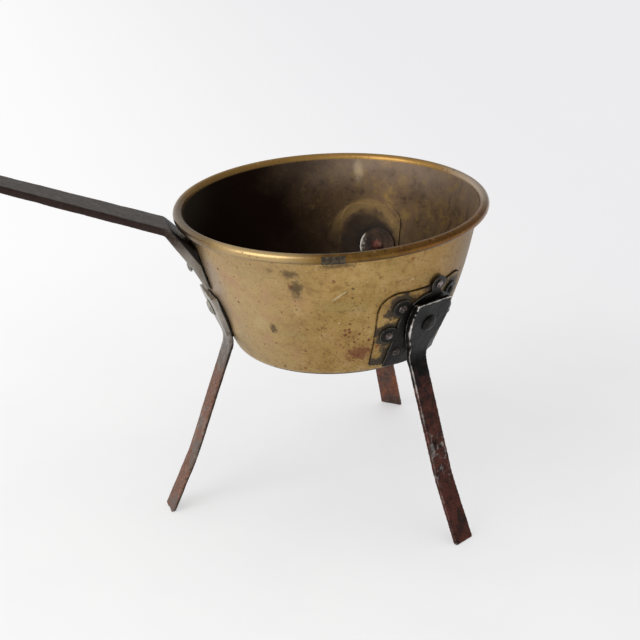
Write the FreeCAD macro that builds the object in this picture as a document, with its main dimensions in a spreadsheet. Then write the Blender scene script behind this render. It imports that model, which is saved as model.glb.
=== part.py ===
import FreeCAD, Part
import Sketcher
import math
import os
from types import SimpleNamespace
from FreeCAD import Vector

# Brass skillet on three riveted iron legs, with a flat iron handle.
# The frame has +Z up, the floor at z = 0 and the bowl turning about the Z axis.
# The handle runs out along -X. All sizes are millimetres and degrees.

SIZES = {
    # Bowl, a raised brass sheet whose edge is rolled over a wire
    "rim_radius": 80.0,
    "roll_radius": 2.5,
    "stand_height": 82.5,
    "bowl_height": 75.2,
    "floor_radius": 50.5,
    "mouth_radius": 74.3,
    "wall_bulge": 2.3,
    "corner_radius": 8.0,
    "brass_thickness": 1.2,
    "neck_drop": 1.0,
    "roll_end_angle": 225.0,
    "wire_clearance": 0.3,
    # Solder mend on the rolled rim
    "solder_thickness": 0.45,
    "solder_angle": 8.4,
    "solder_azimuth": -108.0,
    "solder_half_wrap": 45.0,
    "solder_clearance": 0.3,
    # Legs, flat bars with a spade head on the wall and a kicked-out toe
    "leg_rivet_above_floor": 28.0,
    "leg_thickness": 2.6,
    "seat_gap": 0.3,
    "seat_bite": 1.6,
    "left_leg_head_above_rivet": 9.5,
    "right_leg_head_above_rivet": 13.5,
    "back_leg_head_above_rivet": 13.5,
    "left_leg_head_half_width": 13.2,
    "right_leg_head_half_width": 13.2,
    "back_leg_head_half_width": 13.2,
    "head_top_inset": 2.6,
    "waist_below_rivet": 20.0,
    "neck_below_rivet": 14.5,
    "neck_half_width": 7.2,
    "shank_half_width": 6.0,
    "shank_below_rivet": 26.0,
    "toe_bend_height": 30.0,
    "toe_bend_reach": 81.0,
    "toe_reach": 95.4,
    "toe_half_width": 6.4,
    "waist_bend_radius": 10.0,
    "toe_bend_radius": 60.0,
    "left_leg_azimuth": 183.0,
    "right_leg_azimuth": -60.9,
    "back_leg_azimuth": 51.9,
    "left_leg_swing": -0.6,
    "right_leg_swing": -3.9,
    "back_leg_swing": 5.2,
    # Handle, a flat bar bent down into a tail that is riveted to the wall
    "handle_azimuth": 180.0,
    "handle_thickness": 4.0,
    "handle_rivet_above_leg_rivet": 22.5,
    "tail_end_thickness": 1.4,
    "tail_below_rivet": 11.0,
    "tail_above_rivet": 1.5,
    "tail_inside_above_rivet": 12.0,
    "tail_end_half_width": 10.5,
    "tail_half_width": 12.5,
    "shoulder_gap": 3.4,
    "shoulder_drop": -0.6,
    "shoulder_half_width": 12.0,
    "handle_length": 222.0,
    "handle_rise_angle": 22.0,
    "handle_end_half_width": 7.5,
    "shoulder_bend_radius": 2.5,
    "eye_radius": 11.0,
    "eye_hole_radius": 4.5,
    # Rivets and the roves that they are closed over inside the bowl
    "rivet_shank_radius": 2.5,
    "rivet_head_radius": 5.0,
    "rivet_head_height": 2.0,
    "rivet_tail_radius": 3.9,
    "rivet_tail_height": 1.3,
    "handle_rivet_head_radius": 3.6,
    "handle_rivet_head_height": 1.8,
    "hole_clearance": 0.3,
    "rove_radius": 10.0,
    "handle_rove_radius": 6.5,
    "rove_thickness": 1.0,
    # Mending plates: brass on the right leg's seat and inside the back leg's, black iron over the first
    "patch_thickness": 0.6,
    "patch_half_width": 28.0,
    "patch_foot_half_width": 24.0,
    "patch_above_rivet": 20.0,
    "patch_below_rivet": 25.0,
    "patch_corner": 10.0,
    "inner_patch_half_width": 17.0,
    "inner_patch_above_rivet": 22.5,
    "inner_patch_below_rivet": 15.0,
    "inner_patch_offset": 5.0,
    "plate_thickness": 0.8,
    "plate_radius": 17.0,
    "plate_lobe_radius": 5.0,
    "plate_foot_half_width": 18.0,
    "plate_below_rivet": 26.5,
    # Small rivets set on a ring round the right leg's own rivet
    "patch_rivet_ring": 20.5,
    "patch_rivet_shank_radius": 1.3,
    "patch_rivet_head_radius": 2.6,
    "patch_rivet_head_height": 1.1,
    "patch_rivet_tail_radius": 2.2,
    "patch_rivet_tail_height": 0.8,
}

# Angles of the small rivets on their ring, from the sideways direction towards the rim
PATCH_RIVET_ANGLES = (-51.0, -8.0, 35.0, 78.0, 144.0, 190.0, 231.0)

# Shape of a hammered rivet end, as shares of its radius and height
FLAT_SHARE = 0.3
SHOULDER_SHARE = 0.75
SHOULDER_HEIGHT_SHARE = 0.62

# Shape of a mending plate's rounded corner, as shares of its size
CORNER_IN_SHARE = 0.25
CORNER_DOWN_SHARE = 0.35
CORNER_END_SHARE = 1.2

# Height of a leg head's widest place, as a share of the head above the rivet
WIDEST_SHARE = 0.25

# Where the handle starts to widen into its eye, in eye radii from its end
EYE_START = 3

# How far cutting and trimming solids run past what they cut
OVERRUN = 30.0
LONG_OVERRUN = 400.0

# Distance under which two points are the same
TOUCH = 1e-4

doc = FreeCAD.newDocument("skillet")
sheet = doc.addObject("Spreadsheet::Sheet", "sizes")
worked = doc.addObject("Spreadsheet::Sheet", "worked")


class Size:
    """A length or a ratio that keeps the sheet formula it comes from."""

    def __init__(self, value, formula):
        self.value = value
        self.formula = formula

    def joined(self, other, sign, value):
        return Size(value, f"({self.formula} {sign} {as_size(other).formula})")

    def __add__(self, other):
        return self.joined(other, "+", self.value + as_size(other).value)

    def __sub__(self, other):
        return self.joined(other, "-", self.value - as_size(other).value)

    def __mul__(self, other):
        return self.joined(other, "*", self.value * as_size(other).value)

    def __truediv__(self, other):
        return self.joined(other, "/", self.value / as_size(other).value)

    def __radd__(self, other):
        return as_size(other) + self

    def __rsub__(self, other):
        return as_size(other) - self

    def __rmul__(self, other):
        return as_size(other) * self

    def __neg__(self):
        return Size(-self.value, f"(-1 * {self.formula})")


def as_size(number):
    return number if isinstance(number, Size) else Size(float(number), f"{float(number)}")


def root(size):
    return Size(math.sqrt(size.value), f"sqrt({size.formula})")


def cosine(size):
    return Size(math.cos(math.radians(size.value)), f"cos({size.formula})")


def sine(size):
    return Size(math.sin(math.radians(size.value)), f"sin({size.formula})")


# Driving sizes by name, and sizes that follow from them
d = SimpleNamespace()
w = SimpleNamespace()


def fill_sheet():
    for row, (name, number) in enumerate(SIZES.items(), start=1):
        sheet.set(f"A{row}", name)
        sheet.set(f"B{row}", str(number))
        sheet.setAlias(f"B{row}", name)
        setattr(d, name, Size(number, f"sizes.{name}"))


def derive(name, size):
    """A named formula cell for a size that follows from the driving ones."""
    row = len(vars(w)) + 1
    worked.set(f"A{row}", name)
    worked.set(f"B{row}", "=" + size.formula.replace("worked.", ""))
    worked.setAlias(f"B{row}", name)
    setattr(w, name, Size(size.value, f"worked.{name}"))


fill_sheet()

# Rolled rim
derive("rim_top", d.stand_height + d.bowl_height)
derive("roll_centre_radius", d.rim_radius - d.roll_radius)
derive("roll_centre_height", w.rim_top - d.roll_radius)
derive("wire_hole_radius", d.roll_radius - d.brass_thickness)
derive("neck_height", w.rim_top - 2 * d.roll_radius - d.neck_drop)

# Outer face of the wall, an arc that bulges from the straight line between floor and neck
derive("wall_run", d.mouth_radius - d.floor_radius)
derive("wall_rise", w.neck_height - d.stand_height)
derive("wall_chord", root(w.wall_run * w.wall_run + w.wall_rise * w.wall_rise))
derive("wall_mid_radius", (d.mouth_radius + d.floor_radius) / 2 + d.wall_bulge * w.wall_rise / w.wall_chord)
derive("wall_mid_height", (w.neck_height + d.stand_height) / 2 - d.wall_bulge * w.wall_run / w.wall_chord)
derive("wall_arc_radius", w.wall_chord * w.wall_chord / (8 * d.wall_bulge) + d.wall_bulge / 2)
derive("wall_centre_radius", w.wall_mid_radius - w.wall_arc_radius * w.wall_rise / w.wall_chord)
derive("wall_centre_height", w.wall_mid_height + w.wall_arc_radius * w.wall_run / w.wall_chord)


def wall_at(height, growth):
    """Radius of the wall's outer face at a height, after it grows outwards by a thickness."""
    arc = w.wall_arc_radius + growth
    drop = height - w.wall_centre_height
    return w.wall_centre_radius + root(arc * arc - drop * drop)


def derive_seat(name, height):
    """Radius and facing direction of the wall where a rivet goes through it."""
    drop = w.wall_centre_height - height
    derive(f"{name}_out", root(w.wall_arc_radius * w.wall_arc_radius - drop * drop) / w.wall_arc_radius)
    derive(f"{name}_down", drop / w.wall_arc_radius)
    derive(f"{name}_radius", w.wall_centre_radius + w.wall_arc_radius * getattr(w, f"{name}_out"))


derive("leg_rivet_height", d.stand_height + d.leg_rivet_above_floor)
derive("handle_rivet_height", w.leg_rivet_height + d.handle_rivet_above_leg_rivet)
derive_seat("leg_seat", w.leg_rivet_height)
derive_seat("tail_seat", w.handle_rivet_height)

# Layers on the wall, as growths of its outer face
derive("patch_outside", d.seat_gap + d.patch_thickness)
derive("plate_inside", w.patch_outside + d.seat_gap)
derive("plate_outside", w.plate_inside + d.plate_thickness)
derive("right_packing", w.plate_outside + d.seat_gap)
derive("inside_bed", -(d.brass_thickness + d.seat_gap))
derive("inner_patch_inside", w.inside_bed - d.patch_thickness)
derive("inner_patch_bed", w.inner_patch_inside - d.seat_gap)
derive("rove_stack", d.brass_thickness + d.rove_thickness + d.seat_gap * 2)


class Frame:
    """A point with three directions, which places sketches and solids."""

    def __init__(self, base, across, up, facing):
        self.base = base
        self.across = across
        self.up = up
        self.facing = facing

    def placement(self):
        return FreeCAD.Placement(self.base, FreeCAD.Rotation(self.across, self.up, self.facing, "ZXY"))

    def turned_about(self, point, axis, angle):
        turn = FreeCAD.Placement(Vector(0, 0, 0), FreeCAD.Rotation(axis, angle), point)
        spin = turn.Rotation
        return Frame(
            turn.multVec(self.base),
            spin.multVec(self.across),
            spin.multVec(self.up),
            spin.multVec(self.facing),
        )

    def moved(self, across, up, facing):
        base = self.base + self.across * across + self.up * up + self.facing * facing
        return Frame(base, self.across, self.up, self.facing)


UP = Vector(0, 0, 1)


def outward(degrees):
    angle = math.radians(degrees)
    return Vector(math.cos(angle), math.sin(angle), 0)


def radial_plane(azimuth):
    """Upright plane through the bowl's axis: sketch x is the radius and y the height."""
    across = outward(azimuth.value)
    return Frame(Vector(0, 0, 0), across, UP, across.cross(UP))


def facing_plane(azimuth):
    """Upright plane seen from outside: sketch x is sideways and y the height."""
    facing = outward(azimuth.value)
    return Frame(Vector(0, 0, 0), UP.cross(facing), UP, facing)


def plan_plane(azimuth):
    """Floor plane: sketch x is the radius."""
    across = outward(azimuth.value)
    return Frame(Vector(0, 0, 0), across, UP.cross(across), UP)


def seat_frame(azimuth, seat, height):
    """Frame on the wall's outer face at a rivet: x sideways, y up the wall, z out of it."""
    out = outward(azimuth.value)
    level = getattr(w, f"{seat}_out").value
    down = getattr(w, f"{seat}_down").value
    base = out * getattr(w, f"{seat}_radius").value + UP * height.value
    return Frame(base, UP.cross(out), out * down + UP * level, out * level - UP * down)


def draw(sketch, corners):
    """Closed outline through corners. A corner is (x, y) or (x, y, via_x, via_y), where via is a
    point on the arc that leads to the next corner. Every coordinate is bound to the sheets."""
    count = len(corners)
    points = [[as_size(number) for number in corner] for corner in corners]
    places = [Vector(point[0].value, point[1].value, 0) for point in points]
    starts = {}
    for index, point in enumerate(points):
        after = (index + 1) % count
        if len(point) == 2:
            sketch.addGeometry(Part.LineSegment(places[index], places[after]))
            starts[index] = (index, 1, 2)
            continue
        via = Vector(point[2].value, point[3].value, 0)
        forward = (via - places[index]).cross(places[after] - via).z > 0
        first, last = (places[index], places[after]) if forward else (places[after], places[index])
        sketch.addGeometry(rising_arc(first, via, last))
        starts[index] = (index, 1, 2) if forward else (index, 2, 1)
    for index, point in enumerate(points):
        after = (index + 1) % count
        geometry, start, end = starts[index]
        next_geometry, next_start, _ = starts[after]
        sketch.addConstraint(Sketcher.Constraint("Coincident", geometry, end, next_geometry, next_start))
        pin(sketch, geometry, start, point[0], point[1])
        if len(point) == 4:
            mark = sketch.addGeometry(Part.Point(Vector(point[2].value, point[3].value, 0)), True)
            pin(sketch, mark, 1, point[2], point[3])
            sketch.addConstraint(Sketcher.Constraint("PointOnObject", mark, 1, geometry))


def rising_arc(first, via, last):
    """Arc through three points that runs anticlockwise."""
    centre = Part.Arc(first, via, last).toShape().Curve.Center
    circle = Part.Circle(centre, UP, centre.distanceToPoint(first))
    return Part.ArcOfCircle(circle, circle.parameter(first), circle.parameter(last))


def pin(sketch, geometry, end, across, up):
    for kind, size in (("DistanceX", across), ("DistanceY", up)):
        number = sketch.addConstraint(Sketcher.Constraint(kind, geometry, end, size.value))
        sketch.setExpression(f"Constraints[{number}]", size.formula)


def mirrored(right_side):
    """Closed outline from its right side, listed downwards, and the same points on the left."""
    left_side = []
    for index in range(len(right_side) - 1, -1, -1):
        across, up = right_side[index][:2]
        before = right_side[index - 1] if index else ()
        if len(before) == 4:
            left_side.append((-as_size(across), up, -as_size(before[2]), before[3]))
        else:
            left_side.append((-as_size(across), up))
    return list(right_side) + left_side


def outline(name, frame, corners):
    sketch = doc.addObject("Sketcher::SketchObject", name)
    sketch.Placement = frame.placement()
    draw(sketch, corners)
    return sketch


def extruded(name, sketch, half_depth):
    solid = doc.addObject("Part::Extrusion", name)
    solid.Base = sketch
    solid.DirMode = "Normal"
    solid.Symmetric = True
    solid.Solid = True
    solid.setExpression("LengthFwd", (2 * as_size(half_depth)).formula)
    return solid


def bent_strip(name, frame, corners, bends, half_width):
    """Strip of even width from its side view. Bends are (corner, radius) pairs."""
    strip = extruded(f"{name}_strip", outline(f"{name}_side", frame, corners), half_width)
    doc.recompute()
    place = frame.placement()
    rounded = []
    for corner, radius in bends:
        across, up = (number.value for number in corner)
        point = place.multVec(Vector(across, up, 0))
        for number, edge in enumerate(strip.Shape.Edges, start=1):
            if edge.CenterOfMass.distanceToPoint(point) < TOUCH:
                rounded.append((number, radius.value, radius.value))
    bent = doc.addObject("Part::Fillet", f"{name}_bent")
    bent.Base = strip
    bent.Edges = rounded
    return bent


def turned_body(name, corners, frame=None):
    """A body made by turning a half section about its own z axis."""
    body = doc.addObject("PartDesign::Body", name)
    sketch = body.newObject("Sketcher::SketchObject", f"{name}_section")
    plane = next(item for item in body.Origin.OriginFeatures if item.Role == "XZ_Plane")
    sketch.AttachmentSupport = [(plane, "")]
    sketch.MapMode = "FlatFace"
    draw(sketch, corners)
    turn = body.newObject("PartDesign::Revolution", f"{name}_turn")
    turn.Profile = sketch
    turn.ReferenceAxis = (sketch, ["V_Axis"])
    turn.Angle = 360.0
    if frame:
        body.Placement = frame.placement()
    return body, turn


def rounded_ring(body, base, name, ring_radius, ring_height, fillet_radius):
    """Fillet on the ring edge of a turned body that has this radius and height."""
    doc.recompute()
    for index, edge in enumerate(base.Shape.Edges, start=1):
        place = edge.Vertexes[0].Point
        flat = all(abs(vertex.Point.z - ring_height.value) < TOUCH for vertex in edge.Vertexes)
        if flat and edge.Closed and abs(math.hypot(place.x, place.y) - ring_radius.value) < TOUCH:
            break
    fillet = body.newObject("PartDesign::Fillet", name)
    fillet.Base = (base, [f"Edge{index}"])
    fillet.setExpression("Radius", fillet_radius.formula)
    return fillet


def cut(name, base, *tools):
    result = doc.addObject("Part::Cut", name)
    result.Base = base
    result.Tool = tools[0] if len(tools) == 1 else joined(f"{name}_tools", *tools)
    return result


def joined(name, *shapes):
    result = doc.addObject("Part::MultiFuse", name)
    result.Shapes = list(shapes)
    return result


def common(name, first, second):
    result = doc.addObject("Part::Common", name)
    result.Base = first
    result.Tool = second
    return result


def rod(name, frame, radius, half_length):
    """Cylinder along a frame's facing direction, centred on its base."""
    solid = doc.addObject("Part::Cylinder", name)
    solid.setExpression("Radius", as_size(radius).formula)
    solid.setExpression("Height", (2 * as_size(half_length)).formula)
    solid.Placement = frame.moved(0, 0, -as_size(half_length).value).placement()
    return solid


envelopes = {}


def wall_envelope(growth):
    """Solid inside the wall's outer face, grown outwards by a thickness. Each one is made once."""
    if growth.formula in envelopes:
        return envelopes[growth.formula]
    name = f"envelope_{len(envelopes) + 1}"
    low = d.stand_height - growth
    foot = wall_at(low, growth)
    body, turn = turned_body(
        name,
        [
            (0, low),
            (foot, low, wall_at(w.wall_mid_height, growth), w.wall_mid_height),
            (wall_at(w.neck_height, growth), w.neck_height),
            (0, w.neck_height),
        ],
    )
    rounded_ring(body, turn, f"{name}_corner", foot, low, d.corner_radius + growth)
    envelopes[growth.formula] = body
    return body


def wall_layer(name, inner_growth, outer_growth):
    """Layer of even thickness that lies on the wall."""
    return cut(name, wall_envelope(outer_growth), wall_envelope(inner_growth))


def rivet(name, frame, head, grip_out, grip_in, shank_radius, tail):
    """Rivet along a seat's axis: domed head outside, closed tail inside."""
    head_radius, head_height = head
    tail_radius, tail_height = tail
    head_top = grip_out + head_height
    head_shoulder = (head_radius * SHOULDER_SHARE, grip_out + head_height * SHOULDER_HEIGHT_SHARE)
    tail_end = -grip_in - tail_height
    tail_shoulder = (tail_radius * SHOULDER_SHARE, -grip_in - tail_height * SHOULDER_HEIGHT_SHARE)
    body, _ = turned_body(
        name,
        [
            (0, head_top),
            (head_radius * FLAT_SHARE, head_top, *head_shoulder),
            (head_radius, grip_out),
            (shank_radius, grip_out),
            (shank_radius, -grip_in),
            (tail_radius, -grip_in, *tail_shoulder),
            (tail_radius * FLAT_SHARE, tail_end),
            (0, tail_end),
        ],
        frame,
    )
    return body


def rivet_hole(name, frame, shank_radius):
    return rod(name, frame, shank_radius + d.hole_clearance, OVERRUN)


# Named seats of the four large rivets
leg_names = ("left_leg", "right_leg", "back_leg")
leg_azimuth = {name: getattr(d, f"{name}_azimuth") for name in leg_names}
leg_swing = {name: getattr(d, f"{name}_swing") for name in leg_names}
seats = {name: seat_frame(leg_azimuth[name], "leg_seat", w.leg_rivet_height) for name in leg_names}
seats["handle"] = seat_frame(d.handle_azimuth, "tail_seat", w.handle_rivet_height)


def patch_rivet_seats():
    """Frames on the wall for the ring of small rivets round the right leg's rivet."""
    frames = []
    for angle in PATCH_RIVET_ANGLES:
        sideways = d.patch_rivet_ring.value * math.cos(math.radians(angle))
        upwards = d.patch_rivet_ring.value * math.sin(math.radians(angle))
        height = w.leg_rivet_height.value + upwards * w.leg_seat_out.value
        drop = w.wall_centre_height.value - height
        level = math.sqrt(w.wall_arc_radius.value**2 - drop**2)
        radius = w.wall_centre_radius.value + level
        out = outward(d.right_leg_azimuth.value + math.degrees(sideways / radius))
        level_part = level / w.wall_arc_radius.value
        down_part = drop / w.wall_arc_radius.value
        frames.append(
            Frame(
                out * radius + UP * height,
                UP.cross(out),
                out * down_part + UP * level_part,
                out * level_part - UP * down_part,
            )
        )
    return frames


small_seats = patch_rivet_seats()


def make_bowl():
    """Raised sheet bowl: flat floor, bulged wall and an edge rolled outwards round a wire."""
    inset = d.brass_thickness
    inner_floor = d.stand_height + inset
    inner_foot = wall_at(inner_floor, -inset)
    inner_middle = wall_at(w.wall_mid_height, -inset)
    far_side = (d.roll_end_angle - 180) / 2
    end_across = cosine(d.roll_end_angle)
    end_up = sine(d.roll_end_angle)
    middle_across = cosine(far_side)
    middle_up = sine(far_side)
    centre = w.roll_centre_radius
    height = w.roll_centre_height
    inner = w.wire_hole_radius
    outer = d.roll_radius
    body, turn = turned_body(
        "bowl_sheet",
        [
            (0, d.stand_height),
            (d.floor_radius, d.stand_height, w.wall_mid_radius, w.wall_mid_height),
            (d.mouth_radius, w.neck_height),
            (centre - inner, height, centre + inner * middle_across, height + inner * middle_up),
            (centre + inner * end_across, height + inner * end_up),
            (
                centre + outer * end_across,
                height + outer * end_up,
                centre + outer * middle_across,
                height + outer * middle_up,
            ),
            (centre - outer, height),
            (wall_at(w.neck_height, -inset), w.neck_height, inner_middle, w.wall_mid_height),
            (inner_foot, inner_floor),
            (0, inner_floor),
        ],
    )
    corner = rounded_ring(body, turn, "outer_corner", d.floor_radius, d.stand_height, d.corner_radius)
    rounded_ring(body, corner, "inner_corner", inner_foot, inner_floor, d.corner_radius - inset)
    holes = [rivet_hole(f"bowl_{name}_hole", seat, d.rivet_shank_radius) for name, seat in seats.items()]
    for number, seat in enumerate(small_seats, start=1):
        holes.append(rivet_hole(f"bowl_patch_hole_{number}", seat, d.patch_rivet_shank_radius))
    return cut("bowl", body, *holes)


def make_rim_wire():
    """Iron wire that the rim is rolled round."""
    wire = doc.addObject("Part::Torus", "rim_wire")
    wire.setExpression("Radius1", w.roll_centre_radius.formula)
    wire.setExpression("Radius2", (w.wire_hole_radius - d.wire_clearance).formula)
    wire.Placement = FreeCAD.Placement(Vector(0, 0, w.roll_centre_height.value), FreeCAD.Rotation())
    return wire


def make_rim_solder():
    """Smear of solder over the outside of the rolled rim."""
    centre = w.roll_centre_radius
    height = w.roll_centre_height
    inner = d.roll_radius + d.solder_clearance
    outer = inner + d.solder_thickness
    level = cosine(d.solder_half_wrap)
    rise = sine(d.solder_half_wrap)
    section = outline(
        "rim_solder_section",
        radial_plane(d.solder_azimuth),
        [
            (centre + inner * level, height + inner * rise, centre + inner, height),
            (centre + inner * level, height - inner * rise),
            (centre + outer * level, height - outer * rise, centre + outer, height),
            (centre + outer * level, height + outer * rise),
        ],
    )
    smear = doc.addObject("Part::Revolution", "rim_solder")
    smear.Source = section
    smear.Axis = UP
    smear.Base = Vector(0, 0, 0)
    smear.Solid = True
    smear.setExpression("Angle", d.solder_angle.formula)
    return smear


def leg_side(name, packing):
    """Side view of a leg in its radial plane: head along the wall, shank and toe."""
    reach = d.leg_thickness + packing
    above = getattr(d, f"{name}_head_above_rivet")
    out = w.leg_seat_out
    down = w.leg_seat_down
    face_radius = w.leg_seat_radius + out * reach
    face_height = w.leg_rivet_height - down * reach
    head_radius = face_radius + down * above
    head_height = face_height + out * above
    waist_radius = face_radius - down * d.waist_below_rivet
    waist_height = face_height - out * d.waist_below_rivet
    depth = d.leg_thickness
    below = -d.leg_thickness * 2
    tip = d.toe_reach + d.leg_thickness
    outer_waist = (waist_radius, waist_height)
    outer_toe = (d.toe_bend_reach, d.toe_bend_height)
    inner_toe = (d.toe_bend_reach - depth, d.toe_bend_height)
    inner_waist = (waist_radius - depth - d.seat_bite / 4, waist_height)
    corners = [
        (head_radius, head_height),
        outer_waist,
        outer_toe,
        (d.toe_reach, 0),
        (tip, below),
        (tip - depth, below),
        (d.toe_reach - depth, 0),
        inner_toe,
        inner_waist,
        (head_radius - depth - packing - d.seat_bite, head_height),
    ]
    bends = [
        (outer_waist, d.waist_bend_radius),
        (outer_toe, d.toe_bend_radius),
        (inner_toe, d.toe_bend_radius + depth),
        (inner_waist, d.waist_bend_radius + depth),
    ]
    return corners, bends


def leg_face(name, frame):
    """Leg seen from outside: spade head, neck, straight shank and a wider toe."""
    rivet_up = w.leg_rivet_height
    above = getattr(d, f"{name}_head_above_rivet")
    half_width = getattr(d, f"{name}_head_half_width")
    widest_up = rivet_up + above * WIDEST_SHARE
    below = -d.leg_thickness * 2
    return outline(
        f"{name}_face",
        frame,
        mirrored(
            [
                (half_width - d.head_top_inset, rivet_up + above, half_width, widest_up),
                (d.neck_half_width, rivet_up - d.neck_below_rivet),
                (d.shank_half_width, rivet_up - d.shank_below_rivet),
                (d.shank_half_width, d.toe_bend_height),
                (d.toe_half_width, 0),
                (d.toe_half_width, below),
            ]
        ),
    )


def make_leg(name, packing):
    azimuth = leg_azimuth[name]
    seat = seats[name]
    swing = leg_swing[name].value
    side_frame = radial_plane(azimuth).turned_about(seat.base, seat.facing, swing)
    face_frame = facing_plane(azimuth).turned_about(seat.base, seat.facing, swing)
    corners, bends = leg_side(name, packing)
    side = bent_strip(name, side_frame, corners, bends, getattr(d, f"{name}_head_half_width") * 2)
    face = extruded(f"{name}_shape", leg_face(name, face_frame), LONG_OVERRUN)
    form = common(f"{name}_form", side, face)
    hole = rivet_hole(f"{name}_hole", seat, d.rivet_shank_radius)
    floor = doc.addObject("Part::Box", f"{name}_floor")
    floor.Length = 2 * LONG_OVERRUN
    floor.Width = 2 * LONG_OVERRUN
    floor.Height = OVERRUN
    floor.Placement.Base = Vector(-LONG_OVERRUN, -LONG_OVERRUN, -OVERRUN)
    return cut(name, form, wall_envelope(packing), hole, floor)


def make_handle():
    """Flat bar that rises outwards, with a shoulder bend and a tail that is thickest under the rim."""
    seat = seats["handle"]
    out = w.tail_seat_out
    down = w.tail_seat_down
    thick = d.handle_thickness
    reach = thick + d.seat_gap
    face_radius = w.tail_seat_radius + out * reach
    face_height = w.handle_rivet_height - down * reach
    thinning = thick - d.tail_end_thickness
    tail_radius = face_radius - down * d.tail_below_rivet - out * thinning
    tail_height = face_height - out * d.tail_below_rivet + down * thinning
    leave_radius = face_radius + down * d.tail_above_rivet
    leave_height = face_height + out * d.tail_above_rivet
    inside_radius = face_radius + down * d.tail_inside_above_rivet - thick - d.seat_bite
    inside_height = face_height + out * d.tail_inside_above_rivet
    bend_radius = d.rim_radius + d.shoulder_gap
    bend_height = w.roll_centre_height - d.shoulder_drop
    run = d.handle_length * cosine(d.handle_rise_angle)
    rise = d.handle_length * sine(d.handle_rise_angle)
    bar_drop = thick / cosine(d.handle_rise_angle)
    under_radius = bend_radius + thick
    under_height = bend_height - bar_drop + thick * sine(d.handle_rise_angle)
    shoulder = (bend_radius, bend_height)
    under_shoulder = (under_radius, under_height)
    side = [
        (tail_radius - thick - d.seat_bite, tail_height),
        (inside_radius, inside_height),
        shoulder,
        (bend_radius + run, bend_height + rise),
        (bend_radius + run, bend_height + rise - bar_drop),
        under_shoulder,
        (leave_radius, leave_height),
        (tail_radius, tail_height),
    ]
    end = bend_radius + run
    plan = outline(
        "handle_plan",
        plan_plane(d.handle_azimuth),
        [
            (tail_radius - thick * 2, -d.tail_end_half_width),
            (leave_radius, -d.tail_half_width),
            (bend_radius + thick, -d.shoulder_half_width),
            (end - d.eye_radius * EYE_START, -d.handle_end_half_width),
            (end - d.eye_radius, -d.eye_radius, end, 0),
            (end - d.eye_radius, d.eye_radius),
            (end - d.eye_radius * EYE_START, d.handle_end_half_width),
            (bend_radius + thick, d.shoulder_half_width),
            (leave_radius, d.tail_half_width),
            (tail_radius - thick * 2, d.tail_end_half_width),
        ],
    )
    bends = [
        (shoulder, d.shoulder_bend_radius + thick),
        (under_shoulder, d.shoulder_bend_radius),
    ]
    half_width = d.shoulder_half_width + d.eye_radius
    strip = bent_strip("handle", radial_plane(d.handle_azimuth), side, bends, half_width)
    shape = extruded("handle_shape", plan, LONG_OVERRUN)
    form = common("handle_form", strip, shape)
    rivet_way = rivet_hole("handle_hole", seat, d.rivet_shank_radius)
    eye = rod("handle_eye", eye_frame(), d.eye_hole_radius, OVERRUN)
    return cut("handle", form, wall_envelope(d.seat_gap), rivet_way, eye)


def eye_frame():
    """Frame of the hanging hole, on the bar's top face near its end."""
    out = outward(d.handle_azimuth.value)
    angle = math.radians(d.handle_rise_angle.value)
    along = out * math.cos(angle) + UP * math.sin(angle)
    facing = UP * math.cos(angle) - out * math.sin(angle)
    start = out * (d.rim_radius.value + d.shoulder_gap.value)
    start = start + UP * (w.roll_centre_height.value - d.shoulder_drop.value)
    base = start + along * (d.handle_length.value - d.eye_radius.value / math.cos(angle))
    return Frame(base, along, facing.cross(along), facing)


def make_rove(name, seat, radius, bed):
    """Round iron plate that a rivet's tail is closed over, lying on what is inside the wall."""
    layer = wall_layer(f"{name}_layer", bed - d.rove_thickness, bed)
    disc = common(f"{name}_disc", layer, rod(f"{name}_blank", seat, radius, OVERRUN / 2))
    return cut(name, disc, rivet_hole(f"{name}_hole", seat, d.rivet_shank_radius))


def plate_outline(name, frame, half_width, foot_half_width, top, below):
    """Outline of a mending plate: straight foot, upright sides and an arched, round-cornered top."""
    corner = d.patch_corner
    round_across = half_width - corner * CORNER_IN_SHARE
    round_up = top - corner * CORNER_DOWN_SHARE
    return outline(
        name,
        frame,
        mirrored(
            [
                (half_width - corner, top, round_across, round_up),
                (half_width, top - corner * CORNER_END_SHARE),
                (foot_half_width, -below),
            ]
        ),
    )


def make_patch():
    """Brass plate over the right leg's seat."""
    seat = seats["right_leg"]
    layer = wall_layer("right_leg_patch_layer", d.seat_gap, w.patch_outside)
    shape = plate_outline(
        "right_leg_patch_outline",
        seat,
        d.patch_half_width,
        d.patch_foot_half_width,
        d.patch_above_rivet,
        d.patch_below_rivet,
    )
    blank = common("right_leg_patch_blank", layer, extruded("right_leg_patch_block", shape, OVERRUN / 2))
    return cut("right_leg_patch", blank, *patch_holes("right_leg_patch"))


def make_plate():
    """Black iron plate with a lobe round each small rivet, between the brass patch and the leg."""
    seat = seats["right_leg"]
    layer = wall_layer("right_leg_plate_layer", w.plate_inside, w.plate_outside)
    lobes = [rod("right_leg_plate_middle", seat, d.plate_radius, OVERRUN / 2)]
    for number, small_seat in enumerate(small_seats, start=1):
        lobes.append(rod(f"right_leg_plate_lobe_{number}", small_seat, d.plate_lobe_radius, OVERRUN / 2))
    skirt = outline(
        "right_leg_plate_skirt",
        seat,
        mirrored([(d.plate_radius, 0), (d.plate_foot_half_width, -d.plate_below_rivet)]),
    )
    lobes.append(extruded("right_leg_plate_foot", skirt, OVERRUN / 2))
    blank = common("right_leg_plate_blank", layer, joined("right_leg_plate_shape", *lobes))
    return cut("right_leg_plate", blank, *patch_holes("right_leg_plate"))


def patch_holes(name):
    holes = [rivet_hole(f"{name}_hole", seats["right_leg"], d.rivet_shank_radius)]
    for number, small_seat in enumerate(small_seats, start=1):
        holes.append(rivet_hole(f"{name}_hole_{number}", small_seat, d.patch_rivet_shank_radius))
    return holes


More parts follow.
